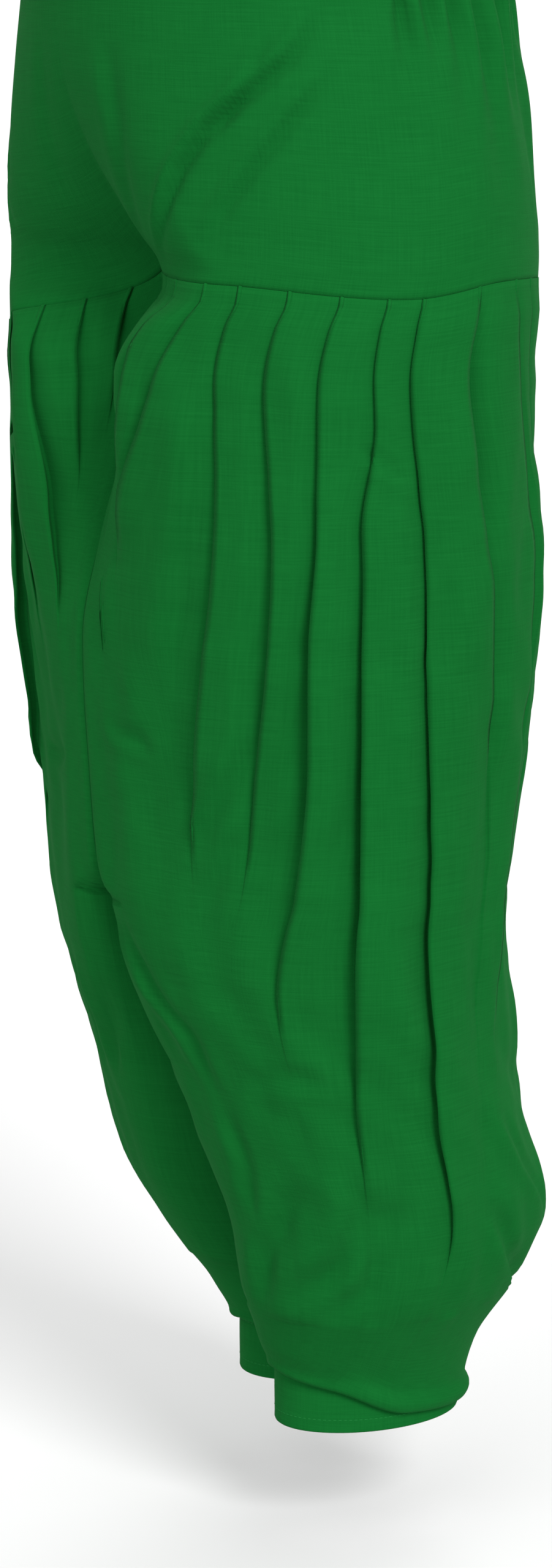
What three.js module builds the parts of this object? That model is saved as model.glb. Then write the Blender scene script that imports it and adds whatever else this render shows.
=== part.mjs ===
import * as THREE from "three";

// A worn patiala salwar: drawstring casing, plain yoke, two pleated legs and two ankle cuffs.
// Millimetres, +Z up, front towards -Y, the wearer's left towards +X, origin at the waist's centre.

// Cloth and seams
const CLOTH = 1.3;
const CUFF_CLOTH = 1.8;
const SEAM_GAP = 0.3;

// Heights, from the drawstring's level
const CASING_TOP = 20;
const CASING_FOOT = -20;
const CHANNEL_DEPTH = 5;
const PLEAT_START = -300;
const CUFF_TOP = -897;
const HEM = -945;

// Ankles: where the cuffs stand, with the left foot ahead of the right
const ANKLE_X = 53;
const ANKLE_Y = 60;
const STRIDE = 17;
const STRIDE_FROM = -780;
const CUFF_HALF_WIDTH = 45;
const CUFF_HALF_DEPTH = 65;

// The hollow at the front of the crotch
const DIMPLE_POWER = 1.3;

// Gathers that the drawstring draws up at the sides and the back
const GATHER_LIFT = 3.2;
const GATHER_ANGLE = 11.25;
const GATHER_FROM = 72;
const GATHER_FULL = 94;
const GATHER_FADE = -150;

// Pleats: how far a folded edge stands out at the yoke, how far the cloth runs in under it, and the open
// step that is left of a pleat lower than STEP_HEIGHT, also as a share of the room beside it
const PLEAT_AT_YOKE = 2.4;
const UNDERLAP_SHARE = 0.55;
const OPEN_STEP = 2.5;
const OPEN_SHARE = 0.3;
const STEP_HEIGHT = 4;

// Panels between pleats: lift at their middle as a share of their folded edge's, and the swell and the
// two columns of the panel at the side
const PANEL_LIFT = 0.62;
const SIDE_SWELL = 1.5;
const SIDE_COLUMNS = [0.3, 0.7];

// Roll of the leg's foot over the cuff: how far it stands out, outside and between the ankles, where
// it leaves the leg's form, and where it is widest, turned under and tucked in, above its lowest edge
const ROLL = 8;
const ROLL_BETWEEN = 5.5;
const ROLL_START = 18;
const ROLL_WIDEST = 8;
const ROLL_UNDER = 0.6;
const ROLL_TUCK = 3;
const TUCK_DEPTH = 4;
const FOOT_SHARES = [0.5, 1];

// Grid
const RING_COLUMNS = 64;
const INNER_CELLS = 4;
const INNER_SPREAD = 1.5;
const OUTLINE_STEPS = 240;
const SEAM_PASSES = 6;
const TOP_SHARES = [0, 0.28, 0.62, 1];
const YOKE_SHARES = [0, 0.12, 0.26, 0.42, 0.58, 0.74, 0.88, 1];
const FLATTEST_NORMAL = 0.16;
const NEARLY = 1e-6;

// Section of the casing: how far out from the hips, and height
const CASING_SECTION = [
  [0, CASING_FOOT + SEAM_GAP],
  [0.4, 0],
  [0, CASING_TOP - 5],
  [-0.6, CASING_TOP - 1.2],
  [-CHANNEL_DEPTH / 2, CASING_TOP],
  [-CHANNEL_DEPTH + 0.6, CASING_TOP - 1.2],
  [-CHANNEL_DEPTH, CASING_TOP - 5],
  [-CHANNEL_DEPTH, CASING_FOOT + 1.5],
];

// Level sections of the left half. inner, outer: x where it starts and ends; middle, level: x and y of
// its centre; front, back: y of its front and back; the powers shape its inner and outer quarters;
// dimple, dimpleWidth: how far the front is drawn in at the centre, and how far to each side; corner:
// where the pleated part starts, in degrees from the side. Above the crotch the section is cut off at
// the centre seam.
const SECTIONS = [
  ["z", "inner", "outer", "middle", "front", "back", "level", "innerPower", "outerPower", "dimple",
    "dimpleWidth", "corner"],
  [20, -170, 170, 0, -146, 130, 0, 2, 2, 0, 66, 83],
  [-20, -176, 176, 0, -150, 135, 0, 2, 2, 0, 66, 83],
  [-60, -187, 187, 0, -152, 141, 0, 2, 2, 4, 86, 83],
  [-110, -197, 197, 0, -154, 148, 0, 2, 2, 23, 98, 83],
  [-150, -203, 203, 0, -154, 152, 0, 2, 2, 48, 112, 83],
  [-168, -204, 204, 0, -153, 154, 0, 2, 2, 62, 122, 83],
  [-183, -205, 205, 0, -153, 154, 0, 2, 2, 76, 134, 83],
  [-200, -205, 205, 0, -153, 153, 0, 2, 2, 84, 130, 83],
  [-215, -206, 206, 0, -153, 151, 0, 2, 2, 80, 100, 83],
  [-250, -206, 206, 0, -152, 144, 0, 2, 2, 70, 68, 83],
  [-300, -205, 205, 0, -149, 143, 0, 2, 2, 46, 66, 83],
  [-360, -204, 204, 0, -145, 145, 0, 2, 2, 20, 66, 83],
  [-420, -199, 199, 0, -141, 144, 0, 2, 2, 3, 66, 83],
  [-480, -180, 192, 2, -136, 144, 0, 2, 1.95, 0, 66, 83.5],
  [-540, -78, 185, 8, -132, 145, 0, 2.2, 1.9, 0, 66, 84.5],
  [-572, -22, 182, 13, -130, 144, 0, 2.3, 1.9, 0, 66, 85.5],
  [-590, 0.2, 180, 17, -128, 141, 0, 2.5, 1.9, 0, 66, 86.5],
  [-640, 3, 175, 28, -117, 140, 5, 2.6, 1.9, 0, 66, 88.5],
  [-700, 4, 168, 44, -92, 138, 15, 2.6, 2, 0, 66, 90],
  [-760, 5, 162, 58, -73, 150, 28, 2.4, 2, 0, 66, 90],
  [-810, 6, 153, 64, -55, 161, 38, 2.3, 2, 0, 66, 90],
  [-850, 6, 140, 63, -39, 156, 46, 2.2, 2, 0, 66, 90],
  [-880, 5, 122, 58, -22, 142, 54, 2.1, 2, 0, 66, 90],
  [-910, 3, 104, 53, -10, 130, 60, 2, 2, 0, 66, 90],
];

// Height of the seam between yoke and legs, by the direction from the centre front through the left side.
const YOKE_SEAM = [
  ["angle", "z"],
  [0, -189],
  [50, -190],
  [85, -198],
  [105, -191],
  [140, -198],
  [180, -205],
  [250, -222],
  [305, -235],
  [335, -216],
  [360, -189],
];

// Height of the rolled foot of a leg, by the angle round the ankle from the front through the outer side.
const LEG_FOOT = [
  ["angle", "z"],
  [0, -906],
  [50, -916],
  [90, -934],
  [150, -938],
  [200, -932],
  [270, -914],
  [360, -906],
];

// Heights of the rows between the pleated top and the foot of a leg, closer together at the crotch.
const ROW_HEIGHTS = [
  -345, -395, -450, -505, -548, -568, -581, -587.5, -591, -606, -640, -685, -735, -785, -828, -862,
];

// Knife pleats of each leg, from the centre front round the side to the centre back. swell is how far
// the folded edge stands out where it is deepest, at the height swellAt; it has closed at the height
// ends. places are the edge's shares of the way round the pleated part, one for each place height.
const PLACE_HEIGHTS = [-200, -270, -340, -410, -480, -560, -640, -720, -800];
const PLEAT_COLUMNS = ["faces", "swell", "swellAt", "ends", "places"];
const LEFT_PLEATS = [
  [1, 3.5, -235, -300, [0.045, 0.022, 0.008, 0.003, 0.016, 0.02, 0.02, 0.02, 0.02]],
  [1, 4, -240, -312, [0.096, 0.056, 0.022, 0.01, 0.04, 0.05, 0.05, 0.055, 0.06]],
  [1, 6, -255, -340, [0.145, 0.1, 0.04, 0.018, 0.068, 0.082, 0.09, 0.095, 0.1]],
  [1, 7.5, -270, -390, [0.21, 0.145, 0.062, 0.035, 0.1, 0.12, 0.13, 0.135, 0.145]],
  [1, 9, -460, -575, [0.256, 0.238, 0.224, 0.206, 0.189, 0.165, 0.165, 0.165, 0.175]],
  [1, 10, -400, -600, [0.317, 0.302, 0.3, 0.294, 0.275, 0.248, 0.215, 0.21, 0.215]],
  [1, 14, -470, -700, [0.378, 0.365, 0.353, 0.342, 0.343, 0.325, 0.278, 0.262, 0.268]],
  [1, 13, -570, -800, [0.434, 0.43, 0.404, 0.403, 0.405, 0.405, 0.392, 0.353, 0.318]],
  [1, 8, -690, -862, [0.477, 0.474, 0.48, 0.484, 0.492, 0.502, 0.505, 0.492, 0.49]],
  [-1, 12, -300, -540, [0.562, 0.545, 0.556, 0.588, 0.61, 0.622, 0.615, 0.61, 0.6]],
  [-1, 11, -470, -720, [0.64, 0.672, 0.694, 0.694, 0.686, 0.68, 0.675, 0.67, 0.66]],
  [-1, 12, -430, -640, [0.692, 0.716, 0.738, 0.742, 0.738, 0.736, 0.734, 0.73, 0.718]],
  [-1, 9, -470, -590, [0.748, 0.77, 0.79, 0.8, 0.802, 0.8, 0.798, 0.79, 0.775]],
  [-1, 7, -300, -420, [0.796, 0.83, 0.856, 0.866, 0.864, 0.858, 0.85, 0.84, 0.82]],
  [-1, 6, -280, -390, [0.846, 0.874, 0.896, 0.904, 0.9, 0.895, 0.89, 0.88, 0.87]],
  [-1, 6, -270, -360, [0.9, 0.92, 0.934, 0.94, 0.934, 0.93, 0.926, 0.92, 0.915]],
  [-1, 5, -260, -330, [0.954, 0.965, 0.97, 0.972, 0.968, 0.965, 0.962, 0.96, 0.96]],
];
const RIGHT_PLEATS = [
  [1, 4, -228, -300, [-0.008, -0.03, -0.026, -0.02, 0, 0.012, 0.02, 0.02, 0.02]],
  [1, 5.5, -250, -345, [0.048, 0.012, -0.008, -0.008, 0.022, 0.036, 0.046, 0.05, 0.055]],
  [1, 9, -330, -430, [0.1, 0.073, 0.024, 0.006, 0.05, 0.066, 0.078, 0.085, 0.09]],
  [1, 4.5, -330, -450, [0.155, 0.14, 0.112, 0.09, 0.1, 0.118, 0.13, 0.135, 0.145]],
  [1, 9, -450, -580, [0.212, 0.206, 0.2, 0.19, 0.182, 0.175, 0.175, 0.18, 0.19]],
  [1, 11, -420, -610, [0.272, 0.276, 0.284, 0.276, 0.262, 0.246, 0.232, 0.23, 0.235]],
  [1, 13, -480, -680, [0.34, 0.344, 0.348, 0.34, 0.334, 0.315, 0.29, 0.276, 0.275]],
  [1, 12, -560, -790, [0.41, 0.414, 0.418, 0.412, 0.41, 0.404, 0.388, 0.36, 0.33]],
  [1, 8, -680, -860, [0.478, 0.475, 0.48, 0.488, 0.495, 0.505, 0.512, 0.505, 0.5]],
  [-1, 12, -320, -550, [0.566, 0.553, 0.564, 0.592, 0.61, 0.618, 0.61, 0.605, 0.6]],
  [-1, 12, -480, -730, [0.64, 0.662, 0.68, 0.684, 0.684, 0.68, 0.674, 0.668, 0.66]],
  [-1, 11, -420, -630, [0.696, 0.714, 0.73, 0.738, 0.738, 0.738, 0.736, 0.73, 0.718]],
  [-1, 9, -460, -600, [0.75, 0.77, 0.788, 0.798, 0.8, 0.8, 0.8, 0.79, 0.775]],
  [-1, 7, -310, -430, [0.8, 0.832, 0.856, 0.864, 0.862, 0.856, 0.85, 0.84, 0.82]],
  [-1, 6, -285, -400, [0.85, 0.876, 0.896, 0.902, 0.898, 0.894, 0.89, 0.88, 0.87]],
  [-1, 6, -275, -370, [0.902, 0.922, 0.934, 0.938, 0.932, 0.928, 0.926, 0.92, 0.915]],
  [-1, 5, -260, -340, [0.955, 0.965, 0.97, 0.972, 0.968, 0.965, 0.962, 0.96, 0.96]],
];

// Smooth curve through rising xs that never overshoots the values it passes through.
function curve(xs, ys) {
  const n = xs.length;
  const run = xs.slice(1).map((x, i) => x - xs[i]);
  const slope = run.map((h, i) => (ys[i + 1] - ys[i]) / h);
  const lean = ys.map((_, i) => {
    if (i === 0) return slope[0];
    if (i === n - 1) return slope[n - 2];
    if (slope[i - 1] * slope[i] <= 0) return 0;
    const a = 2 * run[i] + run[i - 1];
    const b = run[i] + 2 * run[i - 1];
    return (a + b) / (a / slope[i - 1] + b / slope[i]);
  });
  return (at) => {
    const x = Math.min(xs[n - 1], Math.max(xs[0], at));
    let i = 0;
    while (i < n - 2 && x > xs[i + 1]) i += 1;
    const t = (x - xs[i]) / run[i];
    const low = (1 + 2 * t) * (1 - t) ** 2 * ys[i] + t * (1 - t) ** 2 * run[i] * lean[i];
    return low + t * t * (3 - 2 * t) * ys[i + 1] - t * t * (1 - t) * run[i] * lean[i + 1];
  };
}

// A table whose first row names its columns, as one curve for each column after the first.
function curves(table) {
  const rows = [...table.slice(1)].sort((a, b) => a[0] - b[0]);
  const xs = rows.map((row) => row[0]);
  const pairs = table[0].slice(1).map((name, k) => [name, curve(xs, rows.map((row) => row[k + 1]))]);
  return Object.fromEntries(pairs);
}

const section = curves(SECTIONS);
const yokeSeam = curves(YOKE_SEAM).z;
const legFoot = curves(LEG_FOOT).z;

function smooth(t) {
  const k = Math.min(1, Math.max(0, t));
  return k * k * (3 - 2 * k);
}

function mix(a, b, t) {
  return a + (b - a) * t;
}

// Outline of the left half at one height, from the front cut to the back cut, with the distance along it.
function outline(z, cut) {
  const at = Object.fromEntries(Object.entries(section).map(([name, f]) => [name, f(z)]));
  const points = [];
  for (let i = 0; i <= OUTLINE_STEPS; i += 1) {
    const degrees = -180 + (360 * i) / OUTLINE_STEPS;
    const c = Math.cos(THREE.MathUtils.degToRad(degrees));
    const s = Math.sin(THREE.MathUtils.degToRad(degrees));
    const power = 2 / (c >= 0 ? at.outerPower : at.innerPower);
    const reach = c >= 0 ? at.outer - at.middle : at.middle - at.inner;
    const x = at.middle + Math.sign(c) * reach * Math.abs(c) ** power;
    const depth = s < 0 ? at.level - at.front : at.back - at.level;
    let y = at.level + Math.sign(s) * depth * Math.abs(s) ** power;
    if (s < 0) {
      const nearness = Math.max(0, 1 - Math.abs(x) / at.dimpleWidth);
      y += at.dimple * nearness ** DIMPLE_POWER;
    }
    points.push({ x, y, degrees });
  }
  const first = points.findIndex((p) => p.x >= cut);
  const last = points.findLastIndex((p) => p.x >= cut);
  const kept = points.slice(first, last + 1);
  const crossing = (a, b) => {
    const t = (cut - a.x) / (b.x - a.x);
    return { x: cut, y: mix(a.y, b.y, t), degrees: mix(a.degrees, b.degrees, t) };
  };
  if (first > 0) {
    kept.unshift(crossing(points[first - 1], points[first]));
    kept.push(crossing(points[last + 1], points[last]));
  }
  let run = 0;
  kept.forEach((p, i) => {
    if (i > 0) run += Math.hypot(p.x - kept[i - 1].x, p.y - kept[i - 1].y);
    p.run = run;
  });
  const runAt = (degrees) => {
    const i = kept.findIndex((p) => p.degrees >= degrees);
    const a = kept[i - 1];
    const b = kept[i];
    return mix(a.run, b.run, (degrees - a.degrees) / (b.degrees - a.degrees));
  };
  return { points: kept, length: run, from: runAt(-at.corner), to: runAt(at.corner) };
}

// Point at a distance along an outline, moved out square to it by lift.
function along(path, distance, lift) {
  const run = Math.min(path.length, Math.max(0, distance));
  let i = path.points.findIndex((p) => p.run >= run);
  i = Math.max(1, i);
  const a = path.points[i - 1];
  const b = path.points[i];
  const t = (run - a.run) / (b.run - a.run);
  const ends = Math.hypot(b.x - a.x, b.y - a.y);
  const outX = (b.y - a.y) / ends;
  const outY = -(b.x - a.x) / ends;
  return { x: mix(a.x, b.x, t) + outX * lift, y: mix(a.y, b.y, t) + outY * lift };
}

// A closed solid: a grid of outer points, rows from the top down, thickened inwards. Columns run
// anticlockwise seen from above. A ring joins its last column to its first; an open sheet keeps its
// inner face on its own side of the centre seam. The top and bottom edges are thickened level, or to
// the height that topEdge or footEdge gives for a place.
function clothSolid(rows, thickness, { ring = false, topEdge = null, footEdge = null }) {
  const down = rows.length;
  const across = rows[0].length;
  const at = (r, c) => rows[r][(c + across) % across];
  const cellNormal = (r, c) => {
    const a = at(r, c);
    const b = at(r, c + 1);
    const d = at(r + 1, c);
    const e = at(r + 1, c + 1);
    const one = new THREE.Vector3().subVectors(e, a);
    const two = new THREE.Vector3().subVectors(d, b);
    return two.cross(one).normalize();
  };
  const inner = rows.map((row, r) => {
    const shut = !ring && row[0].distanceTo(row[across - 1]) < 2 * SEAM_GAP;
    return row.map((point, c) => {
      const sum = new THREE.Vector3();
      let count = 0;
      for (const i of [r - 1, r]) {
        for (const j of [c - 1, c]) {
          const inside = i >= 0 && i < down - 1 && (ring || (j >= 0 && j < across - 1));
          if (inside) {
            sum.add(cellNormal(i, j));
            count += 1;
          }
        }
      }
      const mean = sum.divideScalar(count);
      if (r === 0 || r === down - 1) mean.z = 0;
      if (shut && (c === 0 || c === across - 1)) mean.y = 0;
      const square = Math.max(mean.lengthSq(), FLATTEST_NORMAL);
      const inside = point.clone().addScaledVector(mean, -thickness / square);
      if (!ring) inside.x = Math.max(inside.x, SEAM_GAP / 2);
      if (topEdge && r === 0) inside.z = topEdge(inside);
      if (footEdge && r === down - 1) inside.z = footEdge(inside);
      return inside;
    });
  });
  const positions = [...rows.flat(), ...inner.flat()].flatMap((p) => [p.x, p.y, p.z]);
  const index = [];
  const side = down * across;
  const quad = (a, b, c, d) => index.push(a, b, c, a, c, d);
  const cells = ring ? across : across - 1;
  for (let r = 0; r < down - 1; r += 1) {
    for (let c = 0; c < cells; c += 1) {
      const a = r * across + c;
      const b = r * across + ((c + 1) % across);
      quad(a, a + across, b + across, b);
      quad(side + a, side + b, side + b + across, side + a + across);
    }
  }
  for (let c = 0; c < cells; c += 1) {
    const next = (c + 1) % across;
    const foot = (down - 1) * across;
    quad(c, next, side + next, side + c);
    quad(foot + next, foot + c, side + foot + c, side + foot + next);
  }
  if (!ring) {
    const last = across - 1;
    for (let r = 0; r < down - 1; r += 1) {
      const a = r * across;
      quad(a + across, a, side + a, side + a + across);
      quad(a + last, a + across + last, side + a + across + last, side + a + last);
    }
  }
  const geometry = new THREE.BufferGeometry();
  geometry.setAttribute("position", new THREE.Float32BufferAttribute(positions, 3));
  geometry.setIndex(index);
  geometry.computeVertexNormals();
  return geometry;
}

// How far the drawstring's gathers stand out, by the angle from the centre front and the height.
function gatherLift(angle, z) {
  const turned = Math.min(angle, 360 - angle);
  const place = smooth((turned - GATHER_FROM) / (GATHER_FULL - GATHER_FROM));
  const fade = 1 - smooth((CASING_FOOT - z) / (CASING_FOOT - GATHER_FADE));
  return GATHER_LIFT * place * fade * Math.cos((2 * Math.PI * angle) / GATHER_ANGLE);
}

// Height of the seam at the foot of the yoke. turned: the place is on the right, seen as its mirror image.
function seamHeight(point, turned) {
  const direction = (THREE.MathUtils.radToDeg(Math.atan2(point.x, -point.y)) + 360) % 360;
  return yokeSeam(turned ? 360 - direction : direction);
}

// A point of the seam: the height is found again from the place, until the two agree.
function onSeam(pointAt, turned) {
  let z = PLACE_HEIGHTS[0];
  for (let pass = 0; pass < SEAM_PASSES; pass += 1) z = seamHeight(pointAt(z), turned);
  return z;
}

// Point of the hips at an angle from the centre front through the left side.
function hipPoint(angle, z, lift) {
  const path = outline(z, 0);
  const left = angle <= 180;
  const share = left ? angle / 180 : (360 - angle) / 180;
  const p = along(path, share * path.length, lift);
  const centred = angle % 180 === 0 ? 0 : p.x;
  return new THREE.Vector3(left ? centred : -centred, p.y, z);
}

const ringAngles = Array.from({ length: RING_COLUMNS }, (_, i) => (360 * i) / RING_COLUMNS);

// The casing: up the outside, over the top and down the inside of the drawstring's channel.
function casingRows() {
  const row = ([out, z]) => ringAngles.map((angle) => hipPoint(angle, z, out + gatherLift(angle, z)));
  return CASING_SECTION.map(row);
}

// The yoke, from under the casing to the seam that the pleats hang from.
function yokeRows() {
  const at = (angle, z) => hipPoint(angle, z, gatherLift(angle, z));
  const feet = ringAngles.map((angle) => onSeam((z) => at(angle, z), false) + SEAM_GAP);
  const row = (share) => ringAngles.map((angle, c) => at(angle, mix(CASING_FOOT, feet[c], share)));
  return YOKE_SHARES.map(row);
}

// One pleat as functions of the height.
function pleatShape(row) {
  const named = Object.fromEntries(PLEAT_COLUMNS.map((name, i) => [name, row[i]]));
  const heights = [...PLACE_HEIGHTS].reverse();
  const place = curve(heights, [...named.places].reverse());
  const lift = (z) => {
    if (z > named.swellAt) {
      const t = smooth((PLACE_HEIGHTS[0] - z) / (PLACE_HEIGHTS[0] - named.swellAt));
      return mix(PLEAT_AT_YOKE, named.swell, t);
    }
    return named.swell * (1 - smooth((named.swellAt - z) / (named.swellAt - named.ends)));
  };
  const underlap = (z, room) => {
    const flatness = Math.max(0, 1 - lift(z) / STEP_HEIGHT);
    return UNDERLAP_SHARE * lift(z) - Math.min(OPEN_STEP, OPEN_SHARE * room) * flatness;
  };
  return { faces: named.faces, place, lift, underlap };
}

// Columns of a leg: each tells how far round the outline it lies, and how far it stands out, at a height.
// The cloth beyond the first and the last pleat is plain, from half way between them and the seam.
function legColumns(pleatTable) {
  const pleats = pleatTable.map(pleatShape);
  const columns = [];
  const add = (distance, lift) => columns.push({ distance, lift });
  const flat = () => 0;
  const share = (path, p) => mix(path.from, path.to, p);
  const fromCorner = (k) => (k / INNER_CELLS) ** INNER_SPREAD;
  const front = (path, z) => Math.min(path.from, mix(path.start, share(path, pleats[0].place(z)), 0.5));
  for (let k = INNER_CELLS; k >= 0; k -= 1) {
    add((path, z) => mix(front(path, z), path.start, fromCorner(k)), flat);
  }
  pleats.forEach((pleat, i) => {
    const before = pleats[i - 1];
    const facing = pleats[i - pleat.faces];
    const edge = (path, z) => share(path, pleat.place(z));
    const room = (path, z) => (facing ? Math.abs(edge(path, z) - share(path, facing.place(z))) : path.from);
    const fold = (path, z) => edge(path, z) + pleat.faces * pleat.underlap(z, room(path, z));
    const between = (t) => (path, z) => share(path, mix(before.place(z), pleat.place(z), t));
    if (pleat.faces > 0) {
      if (before) add(between(0.5), (z) => PANEL_LIFT * before.lift(z));
      add(fold, flat);
      add(edge, pleat.lift);
    } else {
      if (before.faces > 0) {
        for (const t of SIDE_COLUMNS) {
          add(between(t), (z) => SIDE_SWELL + mix(before.lift(z), pleat.lift(z), t));
        }
      } else {
        add(between(0.5), (z) => PANEL_LIFT * pleat.lift(z));
      }
      add(edge, pleat.lift);
      add(fold, flat);
    }
  });
  for (let k = 0; k <= INNER_CELLS; k += 1) add((path) => mix(path.to, path.end, fromCorner(k)), flat);
  return columns;
}

// The outline that one leg follows at a height: cut at the centre seam above the crotch, closed with a
// narrow gap at the inseam below it.
function legOutline(z) {
  const path = outline(z, SEAM_GAP / 2);
  const closed = path.points[0].x > SEAM_GAP / 2 + NEARLY;
  const trim = closed ? SEAM_GAP / 2 : 0;
  return { ...path, start: trim, end: path.length - trim };
}

// Point on the ankle's ellipse, moved out by off.
function anklePoint(degrees, z, off, stride) {
  const angle = THREE.MathUtils.degToRad(degrees);
  const x = ANKLE_X + (CUFF_HALF_WIDTH + off) * Math.cos(angle);
  const y = ANKLE_Y + stride + (CUFF_HALF_DEPTH + off) * Math.sin(angle);
  return new THREE.Vector3(x, y, z);
}

// Rows of a leg, and the angles of its columns round the ankle. stride: how far its foot is set back.
function legRows(pleatTable, stride, turned) {
  const columns = legColumns(pleatTable);
  const setBack = (z) => stride * smooth((STRIDE_FROM - z) / (STRIDE_FROM - CUFF_TOP));
  const place = (column, z) => {
    const path = legOutline(z);
    const p = along(path, column.distance(path, z), column.lift(z));
    return new THREE.Vector3(Math.max(p.x, SEAM_GAP / 2), p.y + setBack(z), z);
  };
  const tops = columns.map((column) => onSeam((z) => place(column, z), turned));
  const rows = TOP_SHARES.map((t) =>
    columns.map((column, c) => place(column, mix(tops[c], PLEAT_START, t))),
  );
  for (const z of ROW_HEIGHTS) rows.push(columns.map((column) => place(column, z)));
  const ankle = legOutline(CUFF_TOP);
  const angles = columns.map((column) => {
    const run = column.distance(ankle, CUFF_TOP);
    const i = Math.max(1, ankle.points.findIndex((p) => p.run >= run - NEARLY));
    const a = ankle.points[i - 1];
    const b = ankle.points[i];
    return mix(a.degrees, b.degrees, (run - a.run) / (b.run - a.run));
  });
  const fromFront = (degrees) => (degrees + 90 + 360) % 360;
  const foot = angles.map((degrees) => legFoot(fromFront(degrees)));
  const last = ROW_HEIGHTS.at(-1);
  for (const t of FOOT_SHARES) {
    rows.push(columns.map((column, c) => place(column, mix(last, foot[c] + ROLL_START, t))));
  }
  const roll = angles.map((degrees) => {
    const between = Math.max(0, -Math.cos(THREE.MathUtils.degToRad(degrees)));
    return mix(ROLL, ROLL_BETWEEN, smooth(between * 2));
  });
  const footRow = (out, height) => angles.map((degrees, c) => anklePoint(degrees, height(c), out(c), stride));
  rows.push(footRow((c) => roll[c], (c) => foot[c] + ROLL_WIDEST));
  rows.push(footRow((c) => ROLL_UNDER * roll[c], (c) => foot[c]));
  rows.push(footRow(() => SEAM_GAP, (c) => foot[c] + ROLL_TUCK));
  rows.push(footRow(() => SEAM_GAP, () => CUFF_TOP - TUCK_DEPTH));
  return { rows, angles };
}

function cuffRows(angles, stride) {
  return [CUFF_TOP, HEM].map((z) => angles.slice(0, -1).map((degrees) => anklePoint(degrees, z, 0, stride)));
}

const part = new THREE.Group();
part.name = "patiala_salwar";

function addPiece(name, geometry, mirrored) {
  const cotton = new THREE.MeshStandardMaterial({ color: 0x1d7834, roughness: 0.9, side: THREE.DoubleSide });
  const piece = new THREE.Mesh(geometry, cotton);
  piece.name = name;
  if (mirrored) piece.scale.x = -1;
  part.add(piece);
}

const yokeFoot = (point) => seamHeight(point, false) + SEAM_GAP;
addPiece("waist_casing", clothSolid(casingRows(), CLOTH, { ring: true }), false);
addPiece("yoke", clothSolid(yokeRows(), CLOTH, { ring: true, footEdge: yokeFoot }), false);

for (const [side, pleats, turned] of [["left", LEFT_PLEATS, false], ["right", RIGHT_PLEATS, true]]) {
  const stride = turned ? STRIDE : -STRIDE;
  const leg = legRows(pleats, stride, turned);
  const legTop = (point) => seamHeight(point, turned);
  addPiece("leg_" + side, clothSolid(leg.rows, CLOTH, { topEdge: legTop }), turned);
  addPiece("cuff_" + side, clothSolid(cuffRows(leg.angles, stride), CUFF_CLOTH, { ring: true }), turned);
}

export default part;
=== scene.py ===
"""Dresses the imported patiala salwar: thin cotton shells with pleats, gathers, creases and sewing."""

import math

import bpy
import numpy as np
from mathutils import Matrix, Vector


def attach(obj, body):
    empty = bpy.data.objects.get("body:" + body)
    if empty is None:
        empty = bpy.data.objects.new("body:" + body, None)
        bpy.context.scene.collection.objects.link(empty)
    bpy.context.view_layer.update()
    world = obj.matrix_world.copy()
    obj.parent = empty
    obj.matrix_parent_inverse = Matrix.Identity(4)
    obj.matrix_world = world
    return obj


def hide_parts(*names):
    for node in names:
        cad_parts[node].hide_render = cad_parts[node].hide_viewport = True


bl_info = {
    "name": "Patiala salwar",
    "version": (1, 0, 0),
    "blender": (4, 5, 0),
    "location": "View3D > Sidebar > Salwar",
    "description": "Dresses the packed patiala salwar in pleated cotton and sets its stage",
    "category": "Object",
}

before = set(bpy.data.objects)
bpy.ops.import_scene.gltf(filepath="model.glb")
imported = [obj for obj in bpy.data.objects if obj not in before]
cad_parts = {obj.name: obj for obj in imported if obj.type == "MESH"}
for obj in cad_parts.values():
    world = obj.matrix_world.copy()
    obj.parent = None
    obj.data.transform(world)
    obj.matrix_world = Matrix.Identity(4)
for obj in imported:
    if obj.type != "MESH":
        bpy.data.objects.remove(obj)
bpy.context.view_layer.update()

# Sizes are in millimetres and turned into metres where a mesh is made. +Z is up, the front is
# towards -Y and the wearer's left towards +X.
MM = 0.001
CASING_TOP = 20
CASING_FOOT = -20
CHANNEL_DEPTH = 5
PLEAT_START = -300
ROWS_END = -862
CUFF_TOP = -897
HEM = -945
SEAM_GAP = 0.3

# Ankles: where the cuffs stand, with the left foot ahead of the right
ANKLE_X = 53
ANKLE_Y = 60
STRIDE = 17
STRIDE_FROM = -780
CUFF_HALF_WIDTH = 45
CUFF_HALF_DEPTH = 65

# The hollow at the front of the crotch
DIMPLE_POWER = 1.3

# Pleats: how far a folded edge stands out at the yoke, and how the cloth runs in under it
PLEAT_AT_YOKE = 2.4
FOLD_SHUT = 3.0
UNDERLAP = 2.6
UNDERLAP_SHARE = 0.3
UNDERLAP_MOST = 5.5
SLOPE_LEAST = 4.0
SLOPE_SHARE = 1.8
SLOPE_OF_PANEL = 0.58
EDGE_ROUND = 2.0
PANEL_FALL = 0.93
BOX_CROWN = 1.5
SHALLOW_SHARE = 0.3
PINCH = 0.12
PINCH_HEIGHT = 22

# The deep valley behind the box pleat at the side: its slope and depth, the height over which it
# opens, and the heights where it is last wide and where it is shut
WEDGE_SHARE = 1.4
WEDGE_OF_PANEL = 0.6
WEDGE_DEPTH = 16.0
WEDGE_TOP = -192
WEDGE_OPENS = 60
WEDGE_WIDE = -290
WEDGE_SHUT = -366

# Seams: the groove along the centre seams and inseams, the lips that turn in there and close the slit
# behind them, the allowance that goes up behind the yoke, and the tuck of the yoke's lower edge
SEAM_GROOVE = 1.8
SEAM_GROOVE_WIDTH = 3.5
LIP_REACH = 4.0
LIP_SUNK = (1.1, 2.3)
CROTCH_TOP = -584
CROTCH_FOOT = -592
ALLOWANCE = 5.0
ALLOWANCE_SUNK = 2.2
ALLOWANCE_TUCK = 0.4
EDGE_TUCK = 0.5
EDGE_DROP = 0.15

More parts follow.
